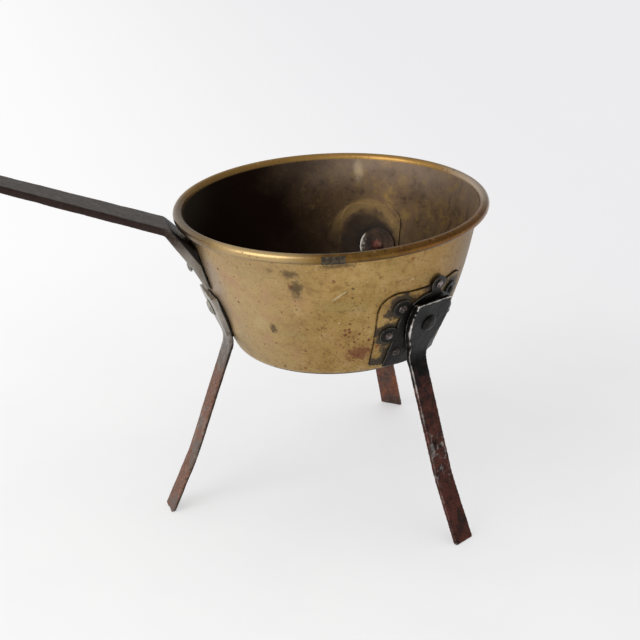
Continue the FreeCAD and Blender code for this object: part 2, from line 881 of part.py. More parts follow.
def make_inner_patch():
    """Brass plate inside the bowl behind the back leg's seat."""
    seat = seats["back_leg"]
    layer = wall_layer("back_leg_patch_layer", w.inner_patch_inside, w.inside_bed)
    shape = plate_outline(
        "back_leg_patch_outline",
        seat.moved(d.inner_patch_offset.value, 0, 0),
        d.inner_patch_half_width,
        d.inner_patch_half_width,
        d.inner_patch_above_rivet,
        d.inner_patch_below_rivet,
    )
    blank = common("back_leg_patch_blank", layer, extruded("back_leg_patch_block", shape, OVERRUN / 2))
    return cut("back_leg_patch", blank, rivet_hole("back_leg_patch_hole", seat, d.rivet_shank_radius))


def make_leg_rivets():
    head = (d.rivet_head_radius, d.rivet_head_height)
    tail = (d.rivet_tail_radius, d.rivet_tail_height)
    outside = d.leg_thickness + d.seat_gap
    grips = {
        "left_leg": (outside, w.rove_stack),
        "right_leg": (d.leg_thickness + w.right_packing, w.rove_stack),
        "back_leg": (outside, w.rove_stack + d.patch_thickness + d.seat_gap),
    }
    rivets = []
    for name, (outside, inside) in grips.items():
        rivets.append(rivet(f"{name}_rivet", seats[name], head, outside, inside, d.rivet_shank_radius, tail))
    return rivets


def make_handle_rivet():
    return rivet(
        "handle_rivet",
        seats["handle"],
        (d.handle_rivet_head_radius, d.handle_rivet_head_height),
        d.handle_thickness + d.seat_gap,
        w.rove_stack,
        d.rivet_shank_radius,
        (d.rivet_tail_radius, d.rivet_tail_height),
    )


def make_patch_rivets():
    head = (d.patch_rivet_head_radius, d.patch_rivet_head_height)
    tail = (d.patch_rivet_tail_radius, d.patch_rivet_tail_height)
    rivets = []
    for number, small_seat in enumerate(small_seats, start=1):
        grips = (w.plate_outside, d.brass_thickness + d.seat_gap)
        shank = d.patch_rivet_shank_radius
        rivets.append(rivet(f"patch_rivet_{number}", small_seat, head, *grips, shank, tail))
    return rivets


sub_parts = [
    make_bowl(),
    make_rim_wire(),
    make_rim_solder(),
    make_handle(),
    make_handle_rivet(),
    make_rove("handle_rove", seats["handle"], d.handle_rove_radius, w.inside_bed),
    make_leg("left_leg", d.seat_gap),
    make_leg("right_leg", w.right_packing),
    make_leg("back_leg", d.seat_gap),
    make_rove("left_leg_rove", seats["left_leg"], d.rove_radius, w.inside_bed),
    make_rove("right_leg_rove", seats["right_leg"], d.rove_radius, w.inside_bed),
    make_rove("back_leg_rove", seats["back_leg"], d.rove_radius, w.inner_patch_bed),
    make_patch(),
    make_plate(),
    make_inner_patch(),
]
sub_parts += make_leg_rivets() + make_patch_rivets()

doc.recompute()


def check_document():
    for item in doc.Objects:
        if any(word in item.State for word in ("Invalid", "Error")):
            raise RuntimeError(f"{item.Name} failed: {item.State}")
    for part in sub_parts:
        if part.Shape.isNull() or not part.Shape.isValid():
            raise RuntimeError(f"{part.Label} has no valid shape")


check_document()
os.makedirs("parts", exist_ok=True)
for part in sub_parts:
    solids = len(part.Shape.Solids)
    box = part.Shape.BoundBox
    print(f"{part.Label}: {solids} solid, {part.Shape.Volume:.1f} mm3, z {box.ZMin:.2f} to {box.ZMax:.2f}")
    part.Shape.exportStep(f"parts/{part.Label}.step")
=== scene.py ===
import math

import bmesh
import bpy
from mathutils import Matrix, Vector, noise


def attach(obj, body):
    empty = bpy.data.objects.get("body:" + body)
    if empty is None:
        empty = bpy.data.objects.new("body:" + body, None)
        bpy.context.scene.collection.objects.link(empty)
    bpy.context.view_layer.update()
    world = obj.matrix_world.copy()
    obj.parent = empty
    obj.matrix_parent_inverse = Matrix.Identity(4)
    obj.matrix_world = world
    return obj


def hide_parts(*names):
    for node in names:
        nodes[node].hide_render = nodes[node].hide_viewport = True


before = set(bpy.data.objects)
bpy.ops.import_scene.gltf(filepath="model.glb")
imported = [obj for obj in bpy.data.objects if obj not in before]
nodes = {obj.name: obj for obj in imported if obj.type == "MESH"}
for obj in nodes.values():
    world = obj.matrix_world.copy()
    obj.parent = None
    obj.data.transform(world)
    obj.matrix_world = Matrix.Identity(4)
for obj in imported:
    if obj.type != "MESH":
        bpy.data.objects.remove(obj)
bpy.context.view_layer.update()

# Lengths are in millimetres, angles in degrees and colours in display values from 0 to 255,
# unless a comment says otherwise
MM = 0.001

# Distance within which the points of a mesh are merged
MERGED = 0.01

# The bowl's sizes, as the solids have them
STAND_HEIGHT = 82.5
BOWL_HEIGHT = 75.2
RIM_RADIUS = 80.0
ROLL_RADIUS = 2.5
FLOOR_RADIUS = 50.5
MOUTH_RADIUS = 74.3
WALL_BULGE = 2.3
CORNER_RADIUS = 8.0
BRASS_THICKNESS = 1.2
NECK_GAP = 1.0
RIM_TOP = STAND_HEIGHT + BOWL_HEIGHT
NECK_HEIGHT = RIM_TOP - 2 * ROLL_RADIUS - NECK_GAP
ROLL_CENTRE = (RIM_RADIUS - ROLL_RADIUS, RIM_TOP - ROLL_RADIUS)

# Steps along the bowl's half section, and round the bowl
FLOOR_STEPS = 8
CORNER_STEPS = 10
OUTER_WALL_STEPS = 44
INNER_WALL_STEPS = 48
BEAD_STEPS = 36
TURN_STEPS = 288

# Height of the wall's first point over the corner, and place of the notch under the bead
WALL_START = 1.5
NOTCH_OUT = 0.75
NOTCH_RISE = 1.2

# Angles on the bead at the notch, and where the inside of the wall meets it
NOTCH_ANGLE = -135.0
MEET_ANGLE = 165.0

# Height at which the inside of the wall begins to flare out to the bead
FLARE_START = 138.0

# Dents of the bowl: their sizes and depths, how far they may stand out, and what is left of them
# on the bead, which stiffens the wall over a height below the neck
BROAD_DENT_SIZE = 34
BROAD_DENT = 0.3
SMALL_DENT_SIZE = 13
SMALL_DENT = 0.12
SMALL_DENT_SHIFT = Vector((7, 1, 3))
DENT_OUT_LIMIT = 0.1
STIFF_HEIGHT = 9
BEAD_DENT_START = 0.22
BEAD_DENT_SHARE = 0.35
FULL_DENT_RADIUS = 40

# Hammered faces of the irons: mean depth as a share of the relief, and the shares of its two waves
HAMMERED = 0.62
BROAD_HAMMER = 0.42
FINE_HAMMER = 0.2
FINE_HAMMER_SIZE = 0.36
FINE_HAMMER_SHIFT = Vector((3, 9, 5))

# Distance within which a face that looks at the wall is taken to lie on it
SEATED = 0.8

# How the pieces are worn: grid of the new mesh, depth of the relief, size of its blotches, rounds of
# smoothing, and rounds that spread the edge attribute
HANDLE_WEAR = {"grain": 0.55, "relief": 0.26, "blotch": 11, "rounds": 6, "spread": 6}
LEG_WEAR = {"grain": 0.45, "relief": 0.26, "blotch": 9, "rounds": 6, "spread": 6}
PLATE_WEAR = {"grain": 0.34, "relief": 0.2, "blotch": 4, "rounds": 1, "spread": 3}
PATCH_WEAR = {"grain": 0.3, "relief": 0.12, "blotch": 6, "rounds": 1, "spread": 5}
INNER_PATCH_WEAR = {"grain": 0.3, "relief": 0.12, "blotch": 6, "rounds": 1, "spread": 16}
SOLDER_WEAR = {"grain": 0.12, "relief": 0.3, "blotch": 2.2, "rounds": 6, "spread": 3}
RIVET_WEAR = {"grain": 0.3, "relief": 0.5, "blotch": 4, "rounds": 2, "spread": 3}
ROVE_WEAR = {"grain": 0.3, "relief": 0.2, "blotch": 4, "rounds": 2, "spread": 3}
SMALL_RIVET_WEAR = {"grain": 0.2, "relief": 0.4, "blotch": 2, "rounds": 2, "spread": 3}
SMALL_RIVETS = [f"patch_rivet_{number}" for number in range(1, 8)]

# Radius that turns an angle round the bowl into a length along its wall
GIRTH_RADIUS = 62.0

# Spots on the wall: azimuth, height, half width and half height
RED_PATCH = (-93.0, 97.5, 8, 6.5)
RED_SPOTS = (-94.6, 105.0, 9, 18)
UPPER_RED_SPOTS = (-95.4, 113.0, 4.5, 9)
SMUDGE = (-119.0, 137.0, 5.2, 8.5)
UPPER_SMUDGE = (-121.0, 145.0, 6.5, 4)
FAINT_SMUDGE = (-128.5, 146.0, 4, 3)
DARK_SPOT = (-132.8, 111.6, 3.2, 4.4)
SOLDER_STAIN = (-101.0, 150.0, 17, 2.6)
PALE_SPOT = (-139.5, 113.5, 9, 7)
# Painted grey reflection and shadow by the handle
GREY_REFLECTION_SPOT = (-166.0, 128.0, 22, 34)
CORNER_GRIME = (-84.0, 88.0, 12, 7)
INNER_GLINT = (63.5, 149.0, 4.5, 8)
# The arch inside: darker within, with a painted highlight along its rim
INNER_ARCH = (58.5, 112.5, 18.5, 20.0)
ROVE_SOOT = (53.5, 113.0, 14, 13)
# Painted highlight on a stretch of a rove's edge
ROVE_GLEAM = (62.8, 112.5, 7.0, 11.0)

# Weight of the distance into the wall in a spot's reach, beside the way along it
SPOT_DEPTH = 0.5

# Scratches on the wall: azimuth, height, half length, half width and lean
SCRATCH = (-101.8, 133.4, 6.0, 0.36, 34)
SHORT_SCRATCH = (-103.2, 131.6, 3.5, 0.32, 38)
FAINT_SCRATCH = (-97.0, 141.5, 4.0, 0.25, 52)

# Reach of the grime round a small rivet
GRIME_REACH = 11.0

# The handle's tail: x and z where its outer face turns, the way into the bar below and above there,
# and how thick its light edge is before the dark wedge
TAIL_TURN = (-74.3, 133.3)
LOWER_TAIL_WAY = (0.889, 0.459)
UPPER_TAIL_WAY = (0.833, 0.554)
# The light edge ends where the painted shade of the dark wedge begins
TAIL_EDGE = (4.0, 4.7)

# The handle's bar: x and half width at its bend, how fast it narrows, and x where its eye begins
BEND_X = -87.4
BEND_HALF_WIDTH = 12.0
HANDLE_TAPER = 0.0267
EYE_X = -256

# The left leg's outer face: x, z and slope of its upper and lower stretch, and how much of a step
# along x goes through the bar
UPPER_SHIN = (-60.2, 84.4, 0.374)
LOWER_SHIN = (-80.6, 29.9, 0.479)
ACROSS_SHIN = 0.93

# Tones of the outside brass, with painted light on the window's side and painted shade to the right
MELLOW_BRASS = (162, 131, 75)
CLEAR_BRASS = (186, 155, 98)
PALE_BRASS = (196, 170, 126)
DULL_BRASS = (134, 102, 56)
DRAWN_LINES = (118, 90, 54)
FINE_DIRT = (100, 70, 40)
BROWN_HAZE = (108, 76, 44)
PALE_HAZE = (202, 178, 134)
RUDDY_BRASS = (150, 108, 74)
OLIVE_BRASS = (160, 144, 94)
LIT_LEFT_BRASS = (186, 162, 124)
PINK_REFLECTION = (178, 138, 108)
GREY_REFLECTION = (156, 142, 130)
WARM_SHADE = (146, 108, 58)
RIGHT_SHADE = (118, 98, 72)

# Tones of the specks, stains and scratches on it
DARK_SPECK = (70, 44, 28)
BROWN_SPECK = (122, 78, 50)
PALE_SPECK = (216, 206, 186)
ROSY_SPECK = (132, 70, 46)
COPPER_RED = (112, 54, 34)
DARK_STAIN = (56, 42, 28)
PALE_STAIN = (206, 184, 138)
BRIGHT_SCRATCH = (214, 202, 170)
# Painted shade in the crease under the bead
CREASE_SHADE = (58, 42, 28)
BLACK_GRIME = (28, 25, 21)
EDGE_GRIME = (40, 30, 21)

# Tones of the sooted inside, with painted light on its right wall, a sheen, a glint and an arch
# highlight
THICK_SOOT = (32, 18, 11)
LIT_THIN_SOOT = (118, 92, 64)
SOOT_BLOTCH = (32, 20, 15)
RUBBED_GOLD = (158, 128, 70)
FINE_SOOT = (40, 26, 18)
GREY_SHEEN = (140, 124, 112)
OLIVE_SOOT = (66, 60, 44)
GOLD_GLEAM = (156, 128, 62)
LOW_SOOT = (36, 23, 15)
PALE_GLINT = (206, 184, 146)
ARCH_SOOT = (34, 23, 15)
ARCH_HIGHLIGHT = (150, 122, 72)
ROVE_BLACK = (22, 13, 7)
RUBBED_EDGE_HIGHLIGHT = (120, 94, 52)

# Tones of the bead, with its painted light: a lit back, a highlight, and shade below
BEAD_BRASS = (120, 90, 42)
BEAD_BROWN = (98, 70, 34)
BEAD_LIT_GOLD = (166, 128, 72)
BEAD_HIGHLIGHT = (192, 164, 116)
BEAD_COPPER = (132, 86, 42)
BEAD_GREY = (116, 104, 88)
BEAD_PALE = (186, 168, 148)
BEAD_UNDER_SHADE = (52, 32, 19)
BEAD_SPECK = (58, 38, 26)

# Tones of the irons that the finishes share, of the roves and of the solder
# Painted shade on the handle's narrow sides
SIDE_SHADE = (48, 34, 31)
# Painted shade in the gaps at the wall
GAP_SHADE = (12, 10, 8)
ROVE_BROWN = (38, 25, 15)
ROVE_WORN = (74, 54, 38)
ROVE_RUST = (88, 46, 32)
# Painted highlight on a rove's edge
ROVE_HIGHLIGHT = (238, 232, 220)
SOLDER_DARK = (50, 42, 30)
SOLDER_LIGHT = (92, 80, 60)
SOLDER_PIT = (34, 30, 24)

# Tones of the floor, and of its glow to the camera on the left and on the right
FLOOR_PALE = (246, 246, 246)
FLOOR_CLOUD = (242, 242, 243)
GLOW_LEFT = (255, 255, 255)
GLOW_RIGHT = (237, 236, 238)

# White as a linear colour
WHITE = (1.0, 1.0, 1.0, 1.0)

# Half size of the floor, and size and place of the window, in metres, with its power in watts
FLOOR_HALF = 6.0
WINDOW_SIZE = 1.4
WINDOW_PLACE = Vector((-1.6, -0.7, 1.3))
WINDOW_AIM = Vector((0, 0, 0.1))
WINDOW_POWER = 14.0

# Strengths of the world: as light, and as it is seen on the window's side and on the other
SOFT_LIGHT = 0.82
BRIGHT_SIDE = 1.0
DIM_SIDE = 0.32

# The camera's angles, its distance from the point that it looks at, that point's place to the side
# of the bowl's axis and over the floor, and the lens
CAMERA_AZIMUTH = -13.38
CAMERA_ELEVATION = 22.79
CAMERA_ROLL = -2.49
CAMERA_DISTANCE = 929.6
AIM_ASIDE = -8.0
AIM_HEIGHT = 92.1
SENSOR_WIDTH = 36.0
FOCAL_LENGTH = 100.7


class Value:
    """A socket that carries a number, with the arithmetic that masks are made of."""

    def __init__(self, tree, socket):
        self.tree = tree
        self.socket = socket

    def worked(self, operation, first, second):
        """Result of one Math node."""
        made = self.tree.node("ShaderNodeMath", {"operation": operation}, {0: first, 1: second})
        return Value(self.tree, made.outputs[0])

    def __add__(self, other):
        return self.worked("ADD", self, other)

    def __radd__(self, other):
        return self.worked("ADD", other, self)

    def __sub__(self, other):
        return self.worked("SUBTRACT", self, other)

    def __rsub__(self, other):
        return self.worked("SUBTRACT", other, self)

    def __mul__(self, other):
        return self.worked("MULTIPLY", self, other)

    def __rmul__(self, other):
        return self.worked("MULTIPLY", other, self)

    def __truediv__(self, other):
        return self.worked("DIVIDE", self, other)

    def __pow__(self, other):
        return self.worked("POWER", self, other)

    def most(self, other):
        return self.worked("MAXIMUM", self, other)

    def least(self, other):
        return self.worked("MINIMUM", self, other)

    def between(self, low, high):
        """0 at low and 1 at high, with a soft step between. Low may be the larger."""
        settings = {"interpolation_type": "SMOOTHSTEP"}
        sockets = {"Value": self, "From Min": low, "From Max": high}
        return Value(self.tree, self.tree.node("ShaderNodeMapRange", settings, sockets).outputs[0])


class Nodes:
    """A node tree that starts empty."""

    def __init__(self, tree):
        self.tree = tree
        tree.nodes.clear()

    def node(self, kind, settings, sockets):
        """New node with its settings made first, then its sockets fed."""
        made = self.tree.nodes.new(kind)
        for key, setting in settings.items():
            setattr(made, key, setting)
        for key, value in sockets.items():
            self.feed(made.inputs[key], value)
        return made

    def feed(self, socket, value):
        """Link a socket to a value, or set a plain number or colour on it."""
        if isinstance(value, Value):
            self.tree.links.new(value.socket, socket)
        elif isinstance(value, bpy.types.NodeSocket):
            self.tree.links.new(value, socket)
        else:
            socket.default_value = value

    def seen(self):
        """1 for a ray from the camera, and for one that is mirrored or goes through."""
        path = self.node("ShaderNodeLightPath", {}, {})
        camera = Value(self, path.outputs["Is Camera Ray"])
        return camera.most(path.outputs["Is Glossy Ray"]).most(path.outputs["Is Transmission Ray"])

    def mixed(self, factor, first, second):
        """Shader that goes from the first to the second."""
        sockets = {0: factor, 1: first.outputs[0], 2: second.outputs[0]}
        return self.node("ShaderNodeMixShader", {}, sockets)


class Finish(Nodes):
    """One procedural material. Places are object coordinates in millimetres."""

    def __init__(self, name):
        self.material = bpy.data.materials.new(name)
        self.material.use_nodes = True
        super().__init__(self.material.node_tree)
        self.shader = self.node("ShaderNodeBsdfPrincipled", {}, {})
        self.output = self.node("ShaderNodeOutputMaterial", {}, {0: self.shader.outputs[0]})
        where = self.node("ShaderNodeTexCoord", {}, {}).outputs["Object"]
        sockets = {0: where, "Scale": 1 / MM}
        self.place = self.node("ShaderNodeVectorMath", {"operation": "SCALE"}, sockets).outputs[0]
        parts = self.node("ShaderNodeSeparateXYZ", {}, {0: self.place})
        self.x = Value(self, parts.outputs[0])
        self.y = Value(self, parts.outputs[1])
        self.z = Value(self, parts.outputs[2])
        self.radius = (self.x * self.x + self.y * self.y) ** 0.5
        self.girth = self.y.worked("ARCTAN2", self.y, self.x) * GIRTH_RADIUS

    def unrolled(self, along=1.0):
        """Place on the bowl's wall laid out flat, with the way round it scaled."""
        return self.node("ShaderNodeCombineXYZ", {}, {0: self.girth * along, 1: self.z}).outputs[0]

    def edge(self):
        """How far the piece's own surface stands out here, from its attribute."""
        made = self.node("ShaderNodeAttribute", {"attribute_name": "edge"}, {})
        return Value(self, made.outputs["Fac"])

    def cloud(self, size, detail, rough, place=None, warp=0.0):
        """Cloudy noise from 0 to 1 whose blotches are about this many millimetres across."""
        sockets = {
            "Vector": self.place if place is None else place,
            "Scale": 1 / size,
            "Detail": detail,
            "Roughness": rough,
            "Distortion": warp,
        }
        return Value(self, self.node("ShaderNodeTexNoise", {}, sockets).outputs[0])

    def specks(self, spacing, radius, share, place=None):
        """Ragged specks up to a radius, on a share of scattered points. A place given lies flat."""
        settings = {} if place is None else {"voronoi_dimensions": "2D"}
        sockets = {"Vector": self.place if place is None else place, "Scale": 1 / spacing}
        made = self.node("ShaderNodeTexVoronoi", settings, sockets)
        parts = self.node("ShaderNodeSeparateColor", {}, {0: made.outputs["Color"]})
        chance = Value(self, parts.outputs[0])
        size = radius / spacing
        reach = (chance - (1 - share)).most(0.0) * (size / share)
        ragged = (self.cloud(radius * 1.3, 3, 0.6) - 0.5) * (0.9 * size)
        within = reach - Value(self, made.outputs["Distance"]) + ragged * reach.between(0.0, 0.02)
        return within.between(0.0, 0.4 * size)

    def mix(self, first, second, factor):
        """Colour that goes from the first to the second."""
        sockets = {0: factor, 6: colour(first), 7: colour(second)}
        return self.node("ShaderNodeMix", {"data_type": "RGBA"}, sockets).outputs[2]

    def bump(self, height, strength, distance):
        """Normal roughened by a height."""
        sockets = {"Height": height, "Strength": strength, "Distance": distance * MM}
        return self.node("ShaderNodeBump", {}, sockets).outputs[0]

    def set(self, **sockets):
        """Feed the shader's sockets, named with underscores for spaces."""
        for name, value in sockets.items():
            self.feed(self.shader.inputs[name.replace("_", " ")], value)


def colour(tone):
    """Linear colour from display values, or a socket as it is."""
    if not isinstance(tone, tuple):
        return tone
    return tuple(linear(part / 255) for part in tone) + (1.0,)


def linear(part):
    """Linear share of a display share, both from 0 to 1."""
    return part / 12.92 if part <= 0.04045 else ((part + 0.055) / 1.055) ** 2.4


def shaded(tone, share):
    """Tone made darker by a share under 1, or lighter by one over it."""
    return tuple(min(part * share, 255) for part in tone)


def wall_arc():
    """Radius of the wall's bulging arc, and the radius and height of its centre."""
    run = MOUTH_RADIUS - FLOOR_RADIUS
    rise = NECK_HEIGHT - STAND_HEIGHT
    chord = math.hypot(run, rise)
    arc = chord * chord / (8 * WALL_BULGE) + WALL_BULGE / 2
    middle_radius = (MOUTH_RADIUS + FLOOR_RADIUS) / 2 + WALL_BULGE * rise / chord
    middle_height = (NECK_HEIGHT + STAND_HEIGHT) / 2 - WALL_BULGE * run / chord
    return arc, middle_radius - arc * rise / chord, middle_height + arc * run / chord


ARC_RADIUS, ARC_CENTRE_RADIUS, ARC_CENTRE_HEIGHT = wall_arc()


def wall_radius(height, inset=0.0):
    """Radius of the bowl's wall at a height: its outer face, or a layer inside it."""
    arc = ARC_RADIUS - inset
    return ARC_CENTRE_RADIUS + math.sqrt(arc * arc - (height - ARC_CENTRE_HEIGHT) ** 2)


# Where the inside of the wall meets the bead, and how far it flares out to get there
MEET_RADIUS = ROLL_CENTRE[0] + ROLL_RADIUS * math.cos(math.radians(MEET_ANGLE))
MEET_HEIGHT = ROLL_CENTRE[1] + ROLL_RADIUS * math.sin(math.radians(MEET_ANGLE))
FLARE = MEET_RADIUS - wall_radius(MEET_HEIGHT, BRASS_THICKNESS)


def arc_points(centre, radius, start, end, count):
    """Points (radius, height) along an arc, from one angle to another."""
    points = []
    for step in range(count + 1):
        angle = math.radians(start + (end - start) * step / count)
        points.append((centre[0] + radius * math.cos(angle), centre[1] + radius * math.sin(angle)))
    return points


def wall_points(inset, low, high, count):
    """Points (radius, height) up a layer of the wall, from one height to another."""
    heights = [low + (high - low) * step / count for step in range(count + 1)]
    return [(wall_radius(height, inset), height) for height in heights]


def inner_wall_points(low, count):
    """Inside of the wall from a height up to the bead, which it meets without a step."""
    points = []
    for radius, height in wall_points(BRASS_THICKNESS, low, MEET_HEIGHT, count):
        share = max(height - FLARE_START, 0.0) / (MEET_HEIGHT - FLARE_START)
        points.append((radius + FLARE * share * share, height))
    return points


def floor_points(height, radius):
    """Points (radius, height) from the axis out along the floor, up to its corner."""
    return [(radius * step / FLOOR_STEPS, height) for step in range(FLOOR_STEPS)]


def corner_points(inset):
    """Rounded corner between floor and wall, from the floor upwards."""
    radius = CORNER_RADIUS - inset
    floor = STAND_HEIGHT + inset
    beside = floor + CORNER_RADIUS
    lean = math.atan2(wall_radius(beside + 1) - wall_radius(beside - 1), 2)
    height = floor + radius
    centre = wall_radius(height - radius * math.sin(lean), inset) - radius * math.cos(lean)
    return arc_points((centre, height), radius, -90, -math.degrees(lean), CORNER_STEPS)


def bowl_section():
    """Half section of the bowl: floor, wall, notch under the bead, bead, and back down inside."""
    outer_corner = corner_points(0)
    inner_corner = corner_points(BRASS_THICKNESS)
    outer_floor = floor_points(STAND_HEIGHT, outer_corner[0][0])
    inner_floor = floor_points(STAND_HEIGHT + BRASS_THICKNESS, inner_corner[0][0])
    outer_wall = wall_points(0, outer_corner[-1][1] + WALL_START, NECK_HEIGHT, OUTER_WALL_STEPS)
    inner_wall = inner_wall_points(inner_corner[-1][1] + WALL_START, INNER_WALL_STEPS)
    notch = [(MOUTH_RADIUS + NOTCH_OUT, NECK_HEIGHT + NOTCH_RISE)]
    bead = arc_points(ROLL_CENTRE, ROLL_RADIUS, NOTCH_ANGLE, MEET_ANGLE, BEAD_STEPS)
    inside = inner_wall[-2::-1] + inner_corner[::-1] + inner_floor[::-1]
    return outer_floor + outer_corner + outer_wall + notch + bead + inside


def finished(name, bm, material, node):
    """Object at the origin made from a bmesh, standing for a CAD node."""
    mesh = bpy.data.meshes.new(name)
    bm.to_mesh(mesh)
    bm.free()
    for face in mesh.polygons:
        face.use_smooth = True
    mesh.materials.append(material)
    made = bpy.data.objects.new(name, mesh)
    bpy.context.scene.collection.objects.link(made)
    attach(made, "root")
    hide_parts(node)


def dent_at(place):
    """How far handwork moved the wall in or out at a place."""
    dent = noise.noise(place / BROAD_DENT_SIZE) * BROAD_DENT
    dent += noise.noise(place / SMALL_DENT_SIZE + SMALL_DENT_SHIFT) * SMALL_DENT
    on_wall = min(dent, DENT_OUT_LIMIT)
    on_bead = min(dent - BEAD_DENT_START, 0.0) * BEAD_DENT_SHARE
    stiff = min(max((place.z - NECK_HEIGHT) / STIFF_HEIGHT + 1, 0.0), 1.0)
    return on_wall * (1 - stiff) + on_bead * stiff


def make_bowl(material):
    """Raised sheet bowl turned from its half section, with the shallow dents of handwork."""
    bm = bmesh.new()
    section = [bm.verts.new((radius * MM, 0, height * MM)) for radius, height in bowl_section()]
    edges = [bm.edges.new(pair) for pair in zip(section, section[1:])]
    bmesh.ops.spin(
        bm,
        geom=section + edges,
        cent=(0, 0, 0),
        axis=(0, 0, 1),
        angle=2 * math.pi,
        steps=TURN_STEPS,
        use_merge=True,
        use_duplicate=False,
    )
    bmesh.ops.remove_doubles(bm, verts=bm.verts, dist=MERGED * MM)
    bmesh.ops.recalc_face_normals(bm, faces=bm.faces)
    for vert in bm.verts:
        place = vert.co / MM
        radius = math.hypot(place.x, place.y)
        if radius < 1:
            continue
        push = dent_at(place) * min(radius / FULL_DENT_RADIUS, 1.0)
        vert.co.x += place.x / radius * push * MM
        vert.co.y += place.y / radius * push * MM
    finished("skillet_bowl", bm, material, "bowl")


def even_mesh(node, name, grain):
    """Copy of a CAD node's mesh with an even grid of faces."""
    bm = bmesh.new()
    bm.from_mesh(nodes[node].data)
    bmesh.ops.remove_doubles(bm, verts=bm.verts, dist=MERGED * MM)
    mesh = bpy.data.meshes.new(name)
    bm.to_mesh(mesh)
    bm.free()
    plain = bpy.data.objects.new(name, mesh)
    bpy.context.scene.collection.objects.link(plain)
    remesh = plain.modifiers.new("even", "REMESH")
    remesh.mode = "VOXEL"
    remesh.voxel_size = grain * MM
    state = bpy.context.evaluated_depsgraph_get()
    even = bpy.data.meshes.new_from_object(plain.evaluated_get(state))
    bpy.data.objects.remove(plain)
    return even


def make_forged(node, slot, material, grain, relief, blotch, rounds, spread):
    """Worn copy of a CAD solid: edges rounded, faces hammered in, the side on the wall seated."""
    name = f"forged_{node}"
    even = even_mesh(node, name + "_plain", grain)
    bm = bmesh.new()
    bm.from_mesh(even)
    bpy.data.meshes.remove(even)
    axes = {"use_axis_x": True, "use_axis_y": True, "use_axis_z": True}
    for _ in range(rounds):
        bmesh.ops.smooth_vert(bm, verts=bm.verts, factor=0.5, **axes)
    bm.normal_update()
    shifts = []
    for vert in bm.verts:
        place = vert.co / MM
        broad = noise.noise(place / blotch) * BROAD_HAMMER
        fine = noise.noise(place / (blotch * FINE_HAMMER_SIZE) + FINE_HAMMER_SHIFT) * FINE_HAMMER
        depth = relief * (HAMMERED - broad - fine)
        shifts.append(seat_shift(place, vert.normal) or -max(depth, 0.0))
    for vert, shift in zip(bm.verts, shifts):
        vert.co += vert.normal * shift * MM
        vert.co.z = max(vert.co.z, 0.0)
    mark_edges(bm, spread)
    finished(name, bm, material, node)


def seat_shift(place, normal):
    """How far a point that looks at the wall from close by goes to lie on it, or 0 for any other."""
    if not STAND_HEIGHT < place.z < NECK_HEIGHT:
        return 0.0
    stand_off = math.hypot(place.x, place.y) - wall_radius(place.z)
    facing = normal.x * place.x + normal.y * place.y
    return stand_off if facing < 0 and 0 < stand_off < SEATED else 0.0


def mark_edges(bm, spread):
    """Attribute that is high on edges that stand out and below zero in hollows."""
    layer = bm.verts.layers.float.new("edge")
    bm.normal_update()
    bm.verts.index_update()
    rings = []
    standing = []
    for vert in bm.verts:
        steps = [edge.other_vert(vert).co - vert.co for edge in vert.link_edges]
        standing.append(-sum(vert.normal.dot(step.normalized()) for step in steps) / len(steps))
        rings.append([edge.other_vert(vert).index for edge in vert.link_edges])
    for _ in range(spread):
        standing = [
            (value + sum(standing[index] for index in ring)) / (1 + len(ring))
            for value, ring in zip(standing, rings)
        ]
    for vert, value in zip(bm.verts, standing):
        vert[layer] = value


def middle_of(node):
    """Middle of a CAD node's box."""
    corners = [nodes[node].matrix_world @ Vector(corner) for corner in nodes[node].bound_box]
    return tuple(sum(corner[axis] for corner in corners) / len(corners) / MM for axis in range(3))


def outer_radius(f):
    """Outer radius of the wall at the shaded point's height."""
    above = f.z - ARC_CENTRE_HEIGHT
    return (ARC_RADIUS * ARC_RADIUS - above * above) ** 0.5 + ARC_CENTRE_RADIUS


def near(f, azimuth, height, width, tall):
    """Mask round a spot on the bowl's wall, 1 at its middle and 0 at its edge."""
    cosine = math.cos(math.radians(azimuth))
    sine = math.sin(math.radians(azimuth))
    radius = wall_radius(height)
    x = f.x - radius * cosine
    y = f.y - radius * sine
    across = (x * -sine + y * cosine) / width
    depth = (x * cosine + y * sine) / width
    up = (f.z - height) / tall
    return 1 - (across * across + depth * depth * SPOT_DEPTH + up * up) ** 0.5


def stroke(f, azimuth, height, length, width, lean):
    """Mask of a thin straight scratch on the wall."""
    cosine = math.cos(math.radians(azimuth))
    sine = math.sin(math.radians(azimuth))
    across = f.y * cosine - f.x * sine
    up = f.z - height
    level = math.cos(math.radians(lean))
    rise = math.sin(math.radians(lean))
    along = (across * level + up * rise) / length
    aside = (up * level - across * rise) / width
    facing = f.x * cosine + f.y * sine
    reach = 1 - (along * along + aside * aside) ** 0.5
    return reach.between(0.0, 0.5) * facing.between(0, 10)


